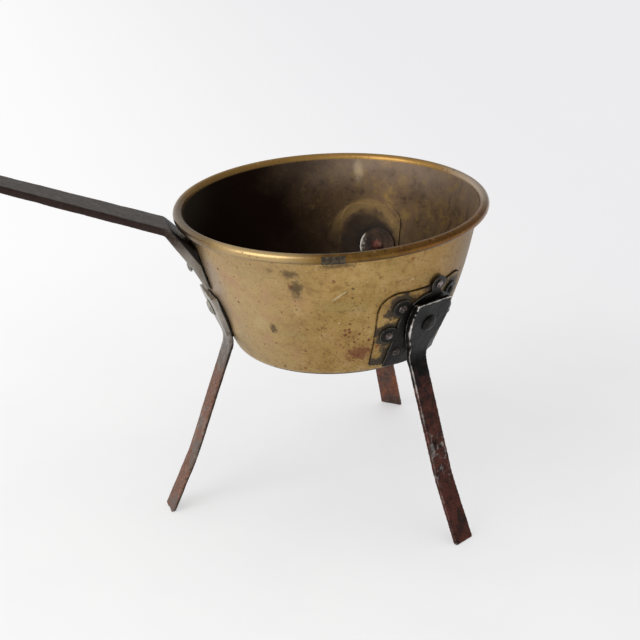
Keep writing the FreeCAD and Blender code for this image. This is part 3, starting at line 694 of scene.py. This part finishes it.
def mottled_brass(f, broad, medium, fine, lines, ruddy):
    """Tone of the outside brass, without its specks and marks, with painted light and shade."""
    haze = f.cloud(3.2, 6, 0.75, warp=0.4)
    left = f.x.between(-15, -58)
    pink_reflection_blotches = f.cloud(11, 5, 0.6).between(0.5, 0.66)
    grey_reflection_mask = (near(f, *GREY_REFLECTION_SPOT) + ruddy - 0.5).between(0.2, 0.8)
    tone = f.mix(MELLOW_BRASS, CLEAR_BRASS, broad.between(0.3, 0.7))
    tone = f.mix(tone, PALE_BRASS, medium.between(0.52, 0.78) * 0.6)
    tone = f.mix(tone, DULL_BRASS, medium.between(0.5, 0.28) * 0.65)
    tone = f.mix(tone, DRAWN_LINES, lines.between(0.55, 0.75) * 0.4)
    tone = f.mix(tone, FINE_DIRT, fine.between(0.52, 0.72) * broad.between(0.7, 0.35) * 0.9)
    tone = f.mix(tone, BROWN_HAZE, haze.between(0.53, 0.68) * 0.65)
    tone = f.mix(tone, PALE_HAZE, haze.between(0.43, 0.3) * 0.6)
    tone = f.mix(tone, RUDDY_BRASS, ruddy.between(0.54, 0.7) * 0.4)
    tone = f.mix(tone, OLIVE_BRASS, ruddy.between(0.44, 0.3) * 0.4)
    # Painted light: lighter on the window's side, with a painted pink reflection
    tone = f.mix(tone, LIT_LEFT_BRASS, left * 0.5)
    tone = f.mix(tone, PINK_REFLECTION, pink_reflection_blotches * left * 0.6)
    # Painted grey reflection and shadow by the handle
    tone = f.mix(tone, GREY_REFLECTION, grey_reflection_mask * 0.6)
    # Painted shade: darker and greyer towards the right, away from the window
    tone = f.mix(tone, WARM_SHADE, f.x.between(-5, 40) * 0.3)
    return f.mix(tone, RIGHT_SHADE, f.x.between(36, 62) * 0.65)


def red_stains(f, ragged, small):
    """Mask of the copper red patch low on the wall and the spots that trail up from it."""
    spots = f.specks(2.4, 1.15, 0.7, f.unrolled())
    patch = (near(f, *RED_PATCH) + ragged * 0.8).between(0.1, 0.5) * (0.85 + small * 0.5)
    trail = spots * near(f, *RED_SPOTS).between(0.0, 0.25)
    upper = spots * near(f, *UPPER_RED_SPOTS).between(0.0, 0.3)
    return patch.most(trail).most(upper)


def dark_stains(f, ragged, small):
    """Mask of the dark smudges under the rim, the dark spot, and the stain under the solder."""
    smudge = (near(f, *SMUDGE) + ragged * 0.8).between(0.1, 0.75)
    upper = (near(f, *UPPER_SMUDGE) + ragged * 0.8).between(0.15, 0.8) * 0.85
    faint = (near(f, *FAINT_SMUDGE) + ragged * 0.8).between(0.2, 0.8) * 0.5
    spot = (near(f, *DARK_SPOT) + small).between(0.15, 0.7)
    solder = (near(f, *SOLDER_STAIN) + ragged).between(0.3, 0.9) * 0.8
    return smudge.most(upper).most(faint).most(spot).most(solder)


def aged_brass(f):
    """Outside brass: its tone, its cover of dirt, its relief and its roughness."""
    flat = f.unrolled()
    broad = f.cloud(34, 3, 0.5)
    medium = f.cloud(8, 5, 0.62)
    fine = f.cloud(1.4, 5, 0.7)
    lines = f.cloud(1.2, 3, 0.6, f.unrolled(0.05))
    ruddy = f.cloud(17, 4, 0.6)
    tone = mottled_brass(f, broad, medium, fine, lines, ruddy)

    brown = f.specks(8.0, 1.1, 0.4, flat).most(f.specks(3.6, 0.55, 0.5, flat))
    brown = brown.most(f.specks(1.7, 0.34, 0.5, flat) * medium.between(0.38, 0.58))
    rosy = f.specks(5.0, 0.7, 0.35, flat) * ruddy.between(0.45, 0.6)
    rosy = rosy.most(f.specks(13.0, 1.5, 0.4, flat))
    brown_tone = f.mix(DARK_SPECK, BROWN_SPECK, ruddy.between(0.4, 0.6))
    tone = f.mix(tone, brown_tone, brown * 0.7)
    tone = f.mix(tone, PALE_SPECK, f.specks(11.0, 0.6, 0.3, flat) * 0.7)
    tone = f.mix(tone, ROSY_SPECK, rosy * 0.65)

    ragged = (f.cloud(3.5, 5, 0.75) - 0.5) * 2.2
    small = (f.cloud(1.6, 4, 0.7) - 0.5) * 1.6
    red = red_stains(f, ragged, small)
    dark = dark_stains(f, ragged, small)
    pale = (near(f, *PALE_SPOT) + ragged * 0.3).between(0.1, 0.9)
    scratches = stroke(f, *SCRATCH).most(stroke(f, *SHORT_SCRATCH) * 0.7)
    scratches = scratches.most(stroke(f, *FAINT_SCRATCH) * 0.4)
    tone = f.mix(tone, COPPER_RED, red * 0.85)
    tone = f.mix(tone, DARK_STAIN, dark * 0.72)
    tone = f.mix(tone, PALE_STAIN, pale * 0.35)
    tone = f.mix(tone, BRIGHT_SCRATCH, scratches * 0.6)

    cover = brown.most(red).most(dark)
    relief = broad * 0.6 + medium * 0.3 - cover * 0.25 + fine * 0.14 + lines * 0.08
    rough = 0.3 + medium * 0.14 + fine * 0.12 + cover * 0.25
    return tone, cover, relief, rough


def sooted_brass(f):
    """Inside of the bowl: dark brown soot with painted light, and how far it thins and is painted lit
    away from the handle.
    """
    broad = f.cloud(26, 4, 0.55)
    medium = f.cloud(8, 5, 0.62, warp=0.3)
    fine = f.cloud(1.8, 4, 0.7)
    gleam = f.cloud(5, 5, 0.7).between(0.52, 0.68)
    # Soot thins towards the right, where the wall is also painted lighter as if lit by the window
    rubbed_and_lit = f.x.between(-62, 78) * 0.95 + (broad - 0.5) * 0.7 + (medium - 0.5) * 0.3
    rubbed_and_lit = rubbed_and_lit.between(0.12, 0.95)
    below_rim = f.z.between(134, 152) * f.x.between(-25, 30)
    left_of_rim = f.z.between(128, 152) * f.x.between(-45, -68)
    glint = (near(f, *INNER_GLINT) + (medium - 0.5) * 1.2).between(0.05, 0.9)
    arch = near(f, *INNER_ARCH) + (medium - 0.5) * 0.25
    arch_highlight = (arch * arch).between(0.03, 0.0) * f.z.between(110, 128)
    tone = f.mix(THICK_SOOT, LIT_THIN_SOOT, rubbed_and_lit)
    tone = f.mix(tone, SOOT_BLOTCH, medium.between(0.48, 0.7) * 0.65)
    tone = f.mix(tone, RUBBED_GOLD, medium.between(0.46, 0.3) * rubbed_and_lit * 0.5)
    tone = f.mix(tone, FINE_SOOT, fine.between(0.54, 0.72) * 0.4)
    # Painted grey sheen under the rim
    tone = f.mix(tone, GREY_SHEEN, below_rim * broad * 0.8)
    tone = f.mix(tone, OLIVE_SOOT, left_of_rim * 0.55)
    tone = f.mix(tone, GOLD_GLEAM, gleam * rubbed_and_lit * 0.45)
    tone = f.mix(tone, LOW_SOOT, f.z.between(138, 100) * 0.7)
    tone = f.mix(tone, PALE_GLINT, glint * 0.5)
    tone = f.mix(tone, ARCH_SOOT, arch.between(0.08, 0.36) * 0.75)
    # Painted highlight along the arch's rim
    tone = f.mix(tone, ARCH_HIGHLIGHT, arch_highlight * (medium + 0.1) * 0.75)
    tone = f.mix(tone, ROVE_BLACK, near(f, *ROVE_SOOT).between(0.0, 0.4) * 0.75)
    return tone, rubbed_and_lit


def inside_of_bowl(f):
    """Mask of the bowl's inside, up to the bead."""
    flared = ((f.z - FLARE_START) / (MEET_HEIGHT - FLARE_START)).most(0.0)
    midway = outer_radius(f) - BRASS_THICKNESS / 2 + flared * flared * (FLARE / 2)
    wall = (midway - f.radius).between(-0.12, 0.12)
    neck = f.radius.between(75.6, 75.2) * f.z.between(NECK_HEIGHT + 1.2, NECK_HEIGHT + 1.7)
    floor = f.z.between(STAND_HEIGHT + 0.4, STAND_HEIGHT + 0.8) * f.radius.between(48, 44)
    return wall.most(neck).most(floor) * f.z.between(MEET_HEIGHT + 0.1, MEET_HEIGHT - 1.0)


def bead_brass(f):
    """Rolled rim: painted lit gold at the back, a painted highlight at the left front, copper at the
    right, painted shade below.
    """
    stain = f.cloud(15, 4, 0.6)
    back = f.y.between(0, 50) * (stain * 0.8 + 0.35)
    left_front = f.x.between(-22, -45) * f.x.between(-76, -62) * f.y.between(20, -20)
    right_front = f.x.between(-5, 30) * f.x.between(79, 70) * f.y.between(30, -20)
    coppery = (stain.between(0.4, 0.65) * 0.4 + 0.5) * right_front
    under_shade = f.z.between(NECK_HEIGHT + 3.1, NECK_HEIGHT + 1.6) * (f.x.between(-30, 25) * 0.7 + 0.3)
    tone = f.mix(BEAD_BRASS, BEAD_BROWN, f.cloud(6, 4, 0.6).between(0.4, 0.65))
    # Painted light: the bead lit gold at the back, and a painted highlight at its left front
    tone = f.mix(tone, BEAD_LIT_GOLD, back)
    tone = f.mix(tone, BEAD_HIGHLIGHT, left_front * 0.85)
    tone = f.mix(tone, BEAD_COPPER, coppery)
    tone = f.mix(tone, BEAD_GREY, f.x.between(-66, -78) * 0.7)
    tone = f.mix(tone, BEAD_PALE, f.x.between(66, 79) * 0.85)
    # Painted shade under the bead
    tone = f.mix(tone, BEAD_UNDER_SHADE, under_shade * (stain + 0.35) * 0.95)
    return f.mix(tone, BEAD_SPECK, f.specks(3.2, 0.5, 0.5, f.unrolled()) * 0.6)


def bowl_finish():
    """Aged brass: mellow outside with specks, stains and red spots, sooted brown inside."""
    f = Finish("aged_brass_bowl")
    outside, cover, relief, rough = aged_brass(f)
    soot, rubbed_and_lit = sooted_brass(f)
    inside = inside_of_bowl(f)
    bead = f.z.between(NECK_HEIGHT + 0.6, NECK_HEIGHT + 1.8) * (1 - inside)
    crease = f.z.between(NECK_HEIGHT - 0.9, NECK_HEIGHT + 0.1) * (1 - bead) * (1 - inside)
    tone = f.mix(outside, soot, inside)
    tone = f.mix(tone, bead_brass(f), bead)
    # Painted shade in the crease under the bead
    tone = f.mix(tone, CREASE_SHADE, crease * 0.8)
    f.set(
        Base_Color=tone,
        Metallic=0.93 - cover * 0.4 * (1 - inside) - inside * rubbed_and_lit * 0.3,
        Roughness=rough + inside * (0.14 - rubbed_and_lit * 0.1) - bead * 0.15,
        Normal=f.bump(relief, 0.4, 0.6),
    )
    return f.material


def patch_finish():
    """Mending sheet outside: the bowl's brass, black with grime round the rivets and at its edge."""
    f = Finish("patch_brass")
    tone, cover, relief, rough = aged_brass(f)
    ragged = f.cloud(4.0, 5, 0.7) - 0.5
    reach = near(f, *CORNER_GRIME)
    for rivet in SMALL_RIVETS:
        sockets = {0: f.place, 1: middle_of(rivet)}
        apart = f.node("ShaderNodeVectorMath", {"operation": "DISTANCE"}, sockets)
        reach = reach.most(1 - Value(f, apart.outputs["Value"]) / GRIME_REACH)
    grime = (reach + ragged * 1.6).between(0.1, 0.4)
    edge = f.edge().between(0.03, 0.14) * (ragged + 0.6).between(0.35, 0.65)
    tone = f.mix(tone, BLACK_GRIME, grime * 0.9)
    tone = f.mix(tone, EDGE_GRIME, edge * 0.85)
    f.set(
        Base_Color=tone,
        Metallic=0.9 - cover * 0.4 - grime * 0.4,
        Roughness=rough + grime * 0.12,
        Normal=f.bump(relief + grime * ragged * 0.8, 0.4, 0.6),
    )
    return f.material


def inner_patch_finish():
    """Mending sheet inside, sooted and painted lit as the wall is, with edges lightened by wear and a
    painted highlight.
    """
    f = Finish("inner_patch_brass")
    tone, rubbed_and_lit = sooted_brass(f)
    # Worn edges, also painted lighter as a highlight
    worn_and_highlight = (f.edge() * 5.0 + (f.cloud(6.0, 4, 0.6) - 0.5) * 1.5).between(0.1, 0.7)
    f.set(
        Base_Color=f.mix(tone, RUBBED_EDGE_HIGHLIGHT, worn_and_highlight * 0.35),
        Metallic=0.93 - rubbed_and_lit * 0.3,
        Roughness=0.5 - worn_and_highlight * 0.1,
        Normal=f.bump(f.cloud(4, 5, 0.65), 0.4, 0.4),
    )
    return f.material


def tail_gap_shade(f):
    """Painted shade: a dark wedge between the light edge of the handle's tail and the wall, and a line
    below it.
    """
    x = f.x - TAIL_TURN[0]
    z = f.z - TAIL_TURN[1]
    lower = x * LOWER_TAIL_WAY[0] + z * LOWER_TAIL_WAY[1]
    upper = x * UPPER_TAIL_WAY[0] + z * UPPER_TAIL_WAY[1]
    wedge = lower.most(upper).between(*TAIL_EDGE) * f.x.between(-86.5, -84.0)
    line = (f.radius - outer_radius(f)).between(1.3, 0.7) * f.z.between(118, 128)
    return wedge.most(line)


def handle_side_shade(f):
    """The two narrow sides of the handle's bar, from its bend to its eye, which are painted in shade.
    """
    half_width = (f.x - BEND_X) * HANDLE_TAPER + BEND_HALF_WIDTH
    across = (f.y * f.y) ** 0.5
    along = f.x.between(-84, -90) * f.x.between(EYE_X - 6, EYE_X)
    return (across - half_width).between(-0.9, -0.4) * along


def leg_gap_shade(f):
    """Painted shade: a dark line beside the left leg's head on the wall, and down the inner half of
    the leg's sides.
    """
    width = f.z.between(122, 110) * 1.2 + 0.4
    beside = ((f.radius - outer_radius(f)) / width).between(1.2, 0.8) * f.z.between(88, 96)
    upper = (f.z - UPPER_SHIN[1]) * UPPER_SHIN[2] + UPPER_SHIN[0]
    lower = (f.z - LOWER_SHIN[1]) * LOWER_SHIN[2] + LOWER_SHIN[0]
    depth = (f.x - upper.least(lower)) * ACROSS_SHIN + (f.cloud(7, 4, 0.6) - 0.5) * 1.2
    return beside.most(depth.between(0.9, 1.5) * f.z.between(98, 88) * 0.85)


def scuffed_foot(f, tone, scale, worn_and_highlight, share):
    """Tone of a leg with black patches left in its rust, and with pale scuffs above the foot."""
    black = f.cloud(9, 6, 0.7, warp=0.5).between(0.5, 0.6)
    tone = f.mix(tone, shaded(scale, 0.9), black * share * 1.3)
    scuffed = f.z.between(64, 52) * f.z.between(20, 34) * share
    scuffs = (f.cloud(3.6, 6, 0.78) + scuffed * 0.2).between(0.64, 0.74)
    return f.mix(tone, shaded(worn_and_highlight, 0.72), scuffs * scuffed * 1.3)


def iron_finish(
    name, scale, rust, worn_and_highlight, rusted, bared, edged, low_rust=0.0, inside=None, gap_shade=None, side=None
):
    """Forged iron: dark scale, rust in blotches, bare patches, and edges bright with wear and a
    painted highlight.
    """
    f = Finish(name)
    broad = f.cloud(22, 4, 0.6)
    medium = f.cloud(6, 6, 0.65)
    fine = f.cloud(0.9, 5, 0.7)
    drawn = f.cloud(2.6, 5, 0.65)
    tone = f.mix(shaded(scale, 0.8), shaded(scale, 1.22), drawn.between(0.36, 0.66))
    tone = f.mix(tone, shaded(scale, 0.6), fine.between(0.55, 0.75) * 0.5)

    cover = broad * 0.5 + medium * 0.6
    if low_rust:
        cover = cover + f.z.between(104.0, 66.0) * low_rust
    cover = cover.between(0.75 - rusted, 1.0 - rusted)
    red = f.mix(rust, shaded(rust, 0.5), fine.between(0.4, 0.65))
    red = f.mix(red, shaded(rust, 1.35), f.cloud(2.4, 5, 0.7).between(0.55, 0.72) * 0.6)
    tone = f.mix(tone, red, cover * (0.6 + fine * 0.5))

    bare = f.cloud(11, 6, 0.72, warp=0.8) * 0.75 + fine * 0.4
    bare = bare.between(0.82 - bared, 0.95 - bared)
    tone = f.mix(tone, worn_and_highlight, bare * 0.8)
    if low_rust:
        tone = scuffed_foot(f, tone, scale, worn_and_highlight, low_rust)
    pits = f.specks(2.6, 0.6, 0.5)
    tone = f.mix(tone, shaded(scale, 0.35), pits * 0.75)
    # Edges that stand out: worn, and painted with a highlight that fades low down
    edge = (f.edge() * 8.0 + (medium - 0.5) * 1.2).between(0.3, 0.9)
    edge = edge * (f.z.between(50, 96) * 0.85 + 0.15) * edged
    tone = f.mix(tone, shaded(worn_and_highlight, 1.15), edge)

    if side:
        # Painted shade on the handle's narrow sides
        tone = f.mix(tone, SIDE_SHADE, side(f) * 0.85)
    if gap_shade:
        # Painted sheen on the light upper edge of the tail and the leg
        lit_sheen = f.z.between(88, 116) * f.z.between(152, 138) * (0.62 + medium * 0.3)
        tone = f.mix(tone, shaded(worn_and_highlight, 0.95), lit_sheen)
        # Painted shade in the gap at the wall
        tone = f.mix(tone, GAP_SHADE, gap_shade(f) * 0.95)
    if inside:
        within = (outer_radius(f) - f.radius).between(1.0, 2.0)
        tone = f.mix(tone, inside, within * (0.5 + medium * 0.8))
    f.set(
        Base_Color=tone,
        Metallic=0.75 - cover * 0.6 + bare * 0.15 + edge * 0.2,
        Roughness=0.4 + cover * 0.3 - bare * 0.08 - edge * 0.12,
        Normal=f.bump(medium * 0.8 + fine * 0.5 - pits * 0.6, 0.6, 0.5),
        Specular_IOR_Level=0.3,
    )
    return f.material


def rove_finish():
    """Dark round plates inside, one of them with a painted highlight on a stretch of its edge."""
    f = Finish("rove_iron")
    medium = f.cloud(5, 5, 0.65)
    fine = f.cloud(1.0, 4, 0.7)
    rust = fine.between(0.52, 0.7) * medium.between(0.45, 0.6)
    # Painted highlight on a stretch of one rove's edge
    gleam = near(f, *ROVE_GLEAM).between(0.15, 0.4) * f.edge().between(-0.01, 0.03)
    tone = f.mix(ROVE_BROWN, ROVE_WORN, medium.between(0.35, 0.65))
    tone = f.mix(tone, ROVE_RUST, rust * 0.7)
    f.set(
        Base_Color=f.mix(tone, ROVE_HIGHLIGHT, gleam),
        Metallic=0.5 - gleam * 0.3,
        Roughness=0.5 + fine * 0.2,
        Normal=f.bump(medium + fine * 0.4, 0.5, 0.4),
    )
    return f.material


def solder_finish():
    """Old grey solder, lumpy and pitted."""
    f = Finish("old_solder")
    lumps = f.cloud(2.2, 4, 0.6)
    tone = f.mix(SOLDER_DARK, SOLDER_LIGHT, lumps.between(0.35, 0.7))
    tone = f.mix(tone, SOLDER_PIT, f.specks(1.6, 0.4, 0.35) * 0.8)
    f.set(Base_Color=tone, Metallic=0.6, Roughness=0.4 + lumps * 0.3, Normal=f.bump(lumps, 0.7, 0.5))
    return f.material


def floor_finish():
    """Pale floor that keeps the pan's shadow and fades to white away from it."""
    f = Finish("pale_floor")
    tone = f.mix(FLOOR_PALE, FLOOR_CLOUD, f.cloud(90, 3, 0.5).between(0.35, 0.65))
    f.set(Base_Color=tone, Roughness=0.55)
    white = f.mix(GLOW_LEFT, GLOW_RIGHT, f.x.between(-220, 330))
    glow = f.node("ShaderNodeEmission", {}, {"Color": white})
    away = f.radius.between(110, 480) * 0.45 + 0.48
    f.feed(f.output.inputs[0], f.mixed(f.seen() * away, f.shader, glow).outputs[0])
    return f.material


def make_floor():
    """Flat floor under the feet, which is no piece of the pan."""
    bm = bmesh.new()
    bmesh.ops.create_grid(bm, x_segments=1, y_segments=1, size=FLOOR_HALF)
    mesh = bpy.data.meshes.new("floor")
    bm.to_mesh(mesh)
    bm.free()
    mesh.materials.append(floor_finish())
    floor = bpy.data.objects.new("floor", mesh)
    bpy.context.scene.collection.objects.link(floor)


def make_world():
    """White world that lights the pan softly, and looks dimmer on the side away from the window."""
    world = bpy.data.worlds.new("studio")
    bpy.context.scene.world = world
    world.use_nodes = True
    sky = Nodes(world.node_tree)
    soft = sky.node("ShaderNodeBackground", {}, {"Strength": SOFT_LIGHT, "Color": WHITE})
    bright = sky.node("ShaderNodeBackground", {}, {"Strength": BRIGHT_SIDE, "Color": WHITE})
    dim = sky.node("ShaderNodeBackground", {}, {"Strength": DIM_SIDE, "Color": WHITE})
    way = sky.node("ShaderNodeTexCoord", {}, {}).outputs["Generated"]
    aside = Value(sky, sky.node("ShaderNodeSeparateXYZ", {}, {0: way}).outputs[0])
    shown = sky.mixed(aside.between(-0.75, 0.8), bright, dim)
    both = sky.mixed(sky.seen(), soft, shown)
    sky.node("ShaderNodeOutputWorld", {}, {0: both.outputs[0]})


def make_window():
    """Large soft lamp at the left front."""
    lamp = bpy.data.lights.new("window", "AREA")
    lamp.shape = "SQUARE"
    lamp.size = WINDOW_SIZE
    lamp.energy = WINDOW_POWER
    made = bpy.data.objects.new("window", lamp)
    made.location = WINDOW_PLACE
    made.rotation_euler = (WINDOW_AIM - WINDOW_PLACE).to_track_quat("-Z", "Y").to_euler()
    bpy.context.scene.collection.objects.link(made)


def make_camera():
    """Camera at the photograph's viewing angle, with the photograph's slight roll."""
    azimuth = math.radians(CAMERA_AZIMUTH)
    elevation = math.radians(CAMERA_ELEVATION)
    roll = math.radians(CAMERA_ROLL)
    level = Vector((math.cos(azimuth), math.sin(azimuth), 0))
    target = level * (AIM_ASIDE * MM) + Vector((0, 0, AIM_HEIGHT * MM))
    back = Vector(
        (
            math.sin(azimuth) * math.cos(elevation),
            -math.cos(azimuth) * math.cos(elevation),
            math.sin(elevation),
        )
    )
    upright = level.cross(-back)
    right = level * math.cos(roll) + upright * math.sin(roll)
    up = upright * math.cos(roll) - level * math.sin(roll)
    turn = Matrix((right, up, back)).transposed().to_4x4()
    lens = bpy.data.cameras.new("camera")
    lens.sensor_width = SENSOR_WIDTH
    lens.lens = FOCAL_LENGTH
    made = bpy.data.objects.new("camera", lens)
    made.matrix_world = Matrix.Translation(target + back * (CAMERA_DISTANCE * MM)) @ turn
    bpy.context.scene.collection.objects.link(made)
    bpy.context.scene.camera = made


bpy.context.scene.view_settings.view_transform = "Standard"
make_camera()
make_floor()
make_world()
make_window()

make_bowl(bowl_finish())

handle_iron = iron_finish(
    "handle_iron",
    scale=(70, 60, 53),
    rust=(104, 60, 46),
    worn_and_highlight=(166, 160, 150),
    rusted=0.08,
    bared=0.09,
    edged=0.2,
    gap_shade=tail_gap_shade,
    side=handle_side_shade,
)
left_iron = iron_finish(
    "left_leg_iron",
    scale=(114, 105, 98),
    rust=(138, 94, 74),
    worn_and_highlight=(188, 182, 172),
    rusted=-0.1,
    bared=0.08,
    edged=0.15,
    low_rust=0.6,
    gap_shade=leg_gap_shade,
)
right_iron = iron_finish(
    "right_leg_iron",
    scale=(13, 11, 10),
    rust=(94, 43, 28),
    worn_and_highlight=(214, 208, 202),
    rusted=-0.12,
    bared=0.04,
    edged=1.0,
    low_rust=0.56,
)
back_iron = iron_finish(
    "back_leg_iron",
    scale=(76, 56, 47),
    rust=(158, 92, 60),
    worn_and_highlight=(140, 118, 104),
    rusted=0.32,
    bared=0.05,
    edged=0.4,
)
plate_iron = iron_finish(
    "black_plate_iron",
    scale=(28, 25, 22),
    rust=(58, 42, 32),
    worn_and_highlight=(120, 116, 108),
    rusted=-0.05,
    bared=0.1,
    edged=0.3,
)
rivet_iron = iron_finish(
    "rivet_iron",
    scale=(146, 142, 131),
    rust=(136, 96, 80),
    worn_and_highlight=(190, 186, 176),
    rusted=0.06,
    bared=0.14,
    edged=0.3,
    inside=(84, 34, 24),
)
black_rivet_iron = iron_finish(
    "black_rivet_iron",
    scale=(32, 28, 26),
    rust=(60, 42, 34),
    worn_and_highlight=(128, 122, 116),
    rusted=0.0,
    bared=0.1,
    edged=0.5,
)
small_rivet_iron = iron_finish(
    "small_rivet_iron",
    scale=(58, 50, 47),
    rust=(72, 50, 42),
    worn_and_highlight=(176, 164, 160),
    rusted=0.0,
    bared=0.22,
    edged=0.5,
)
wire_iron = iron_finish(
    "wire_iron",
    scale=(44, 38, 34),
    rust=(90, 52, 34),
    worn_and_highlight=(110, 100, 92),
    rusted=0.2,
    bared=0.1,
    edged=0.0,
)
rove_iron = rove_finish()

make_forged("handle", "handle_iron", handle_iron, **HANDLE_WEAR)
make_forged("left_leg", "left_leg_iron", left_iron, **LEG_WEAR)
make_forged("right_leg", "right_leg_iron", right_iron, **LEG_WEAR)
make_forged("back_leg", "back_leg_iron", back_iron, **LEG_WEAR)
make_forged("right_leg_plate", "plate_iron", plate_iron, **PLATE_WEAR)
make_forged("right_leg_patch", "patch_brass", patch_finish(), **PATCH_WEAR)
make_forged("back_leg_patch", "inner_patch_brass", inner_patch_finish(), **INNER_PATCH_WEAR)
make_forged("rim_solder", "solder", solder_finish(), **SOLDER_WEAR)
make_forged("right_leg_rivet", "rivet_iron", black_rivet_iron, **RIVET_WEAR)
for piece in ("left_leg", "back_leg", "handle"):
    make_forged(f"{piece}_rivet", "rivet_iron", rivet_iron, **RIVET_WEAR)
for piece in ("left_leg", "right_leg", "back_leg", "handle"):
    make_forged(f"{piece}_rove", "rove_iron", rove_iron, **ROVE_WEAR)
for rivet in SMALL_RIVETS:
    make_forged(rivet, "small_rivet_iron", small_rivet_iron, **SMALL_RIVET_WEAR)

nodes["rim_wire"].material_slots[0].material = wire_iron
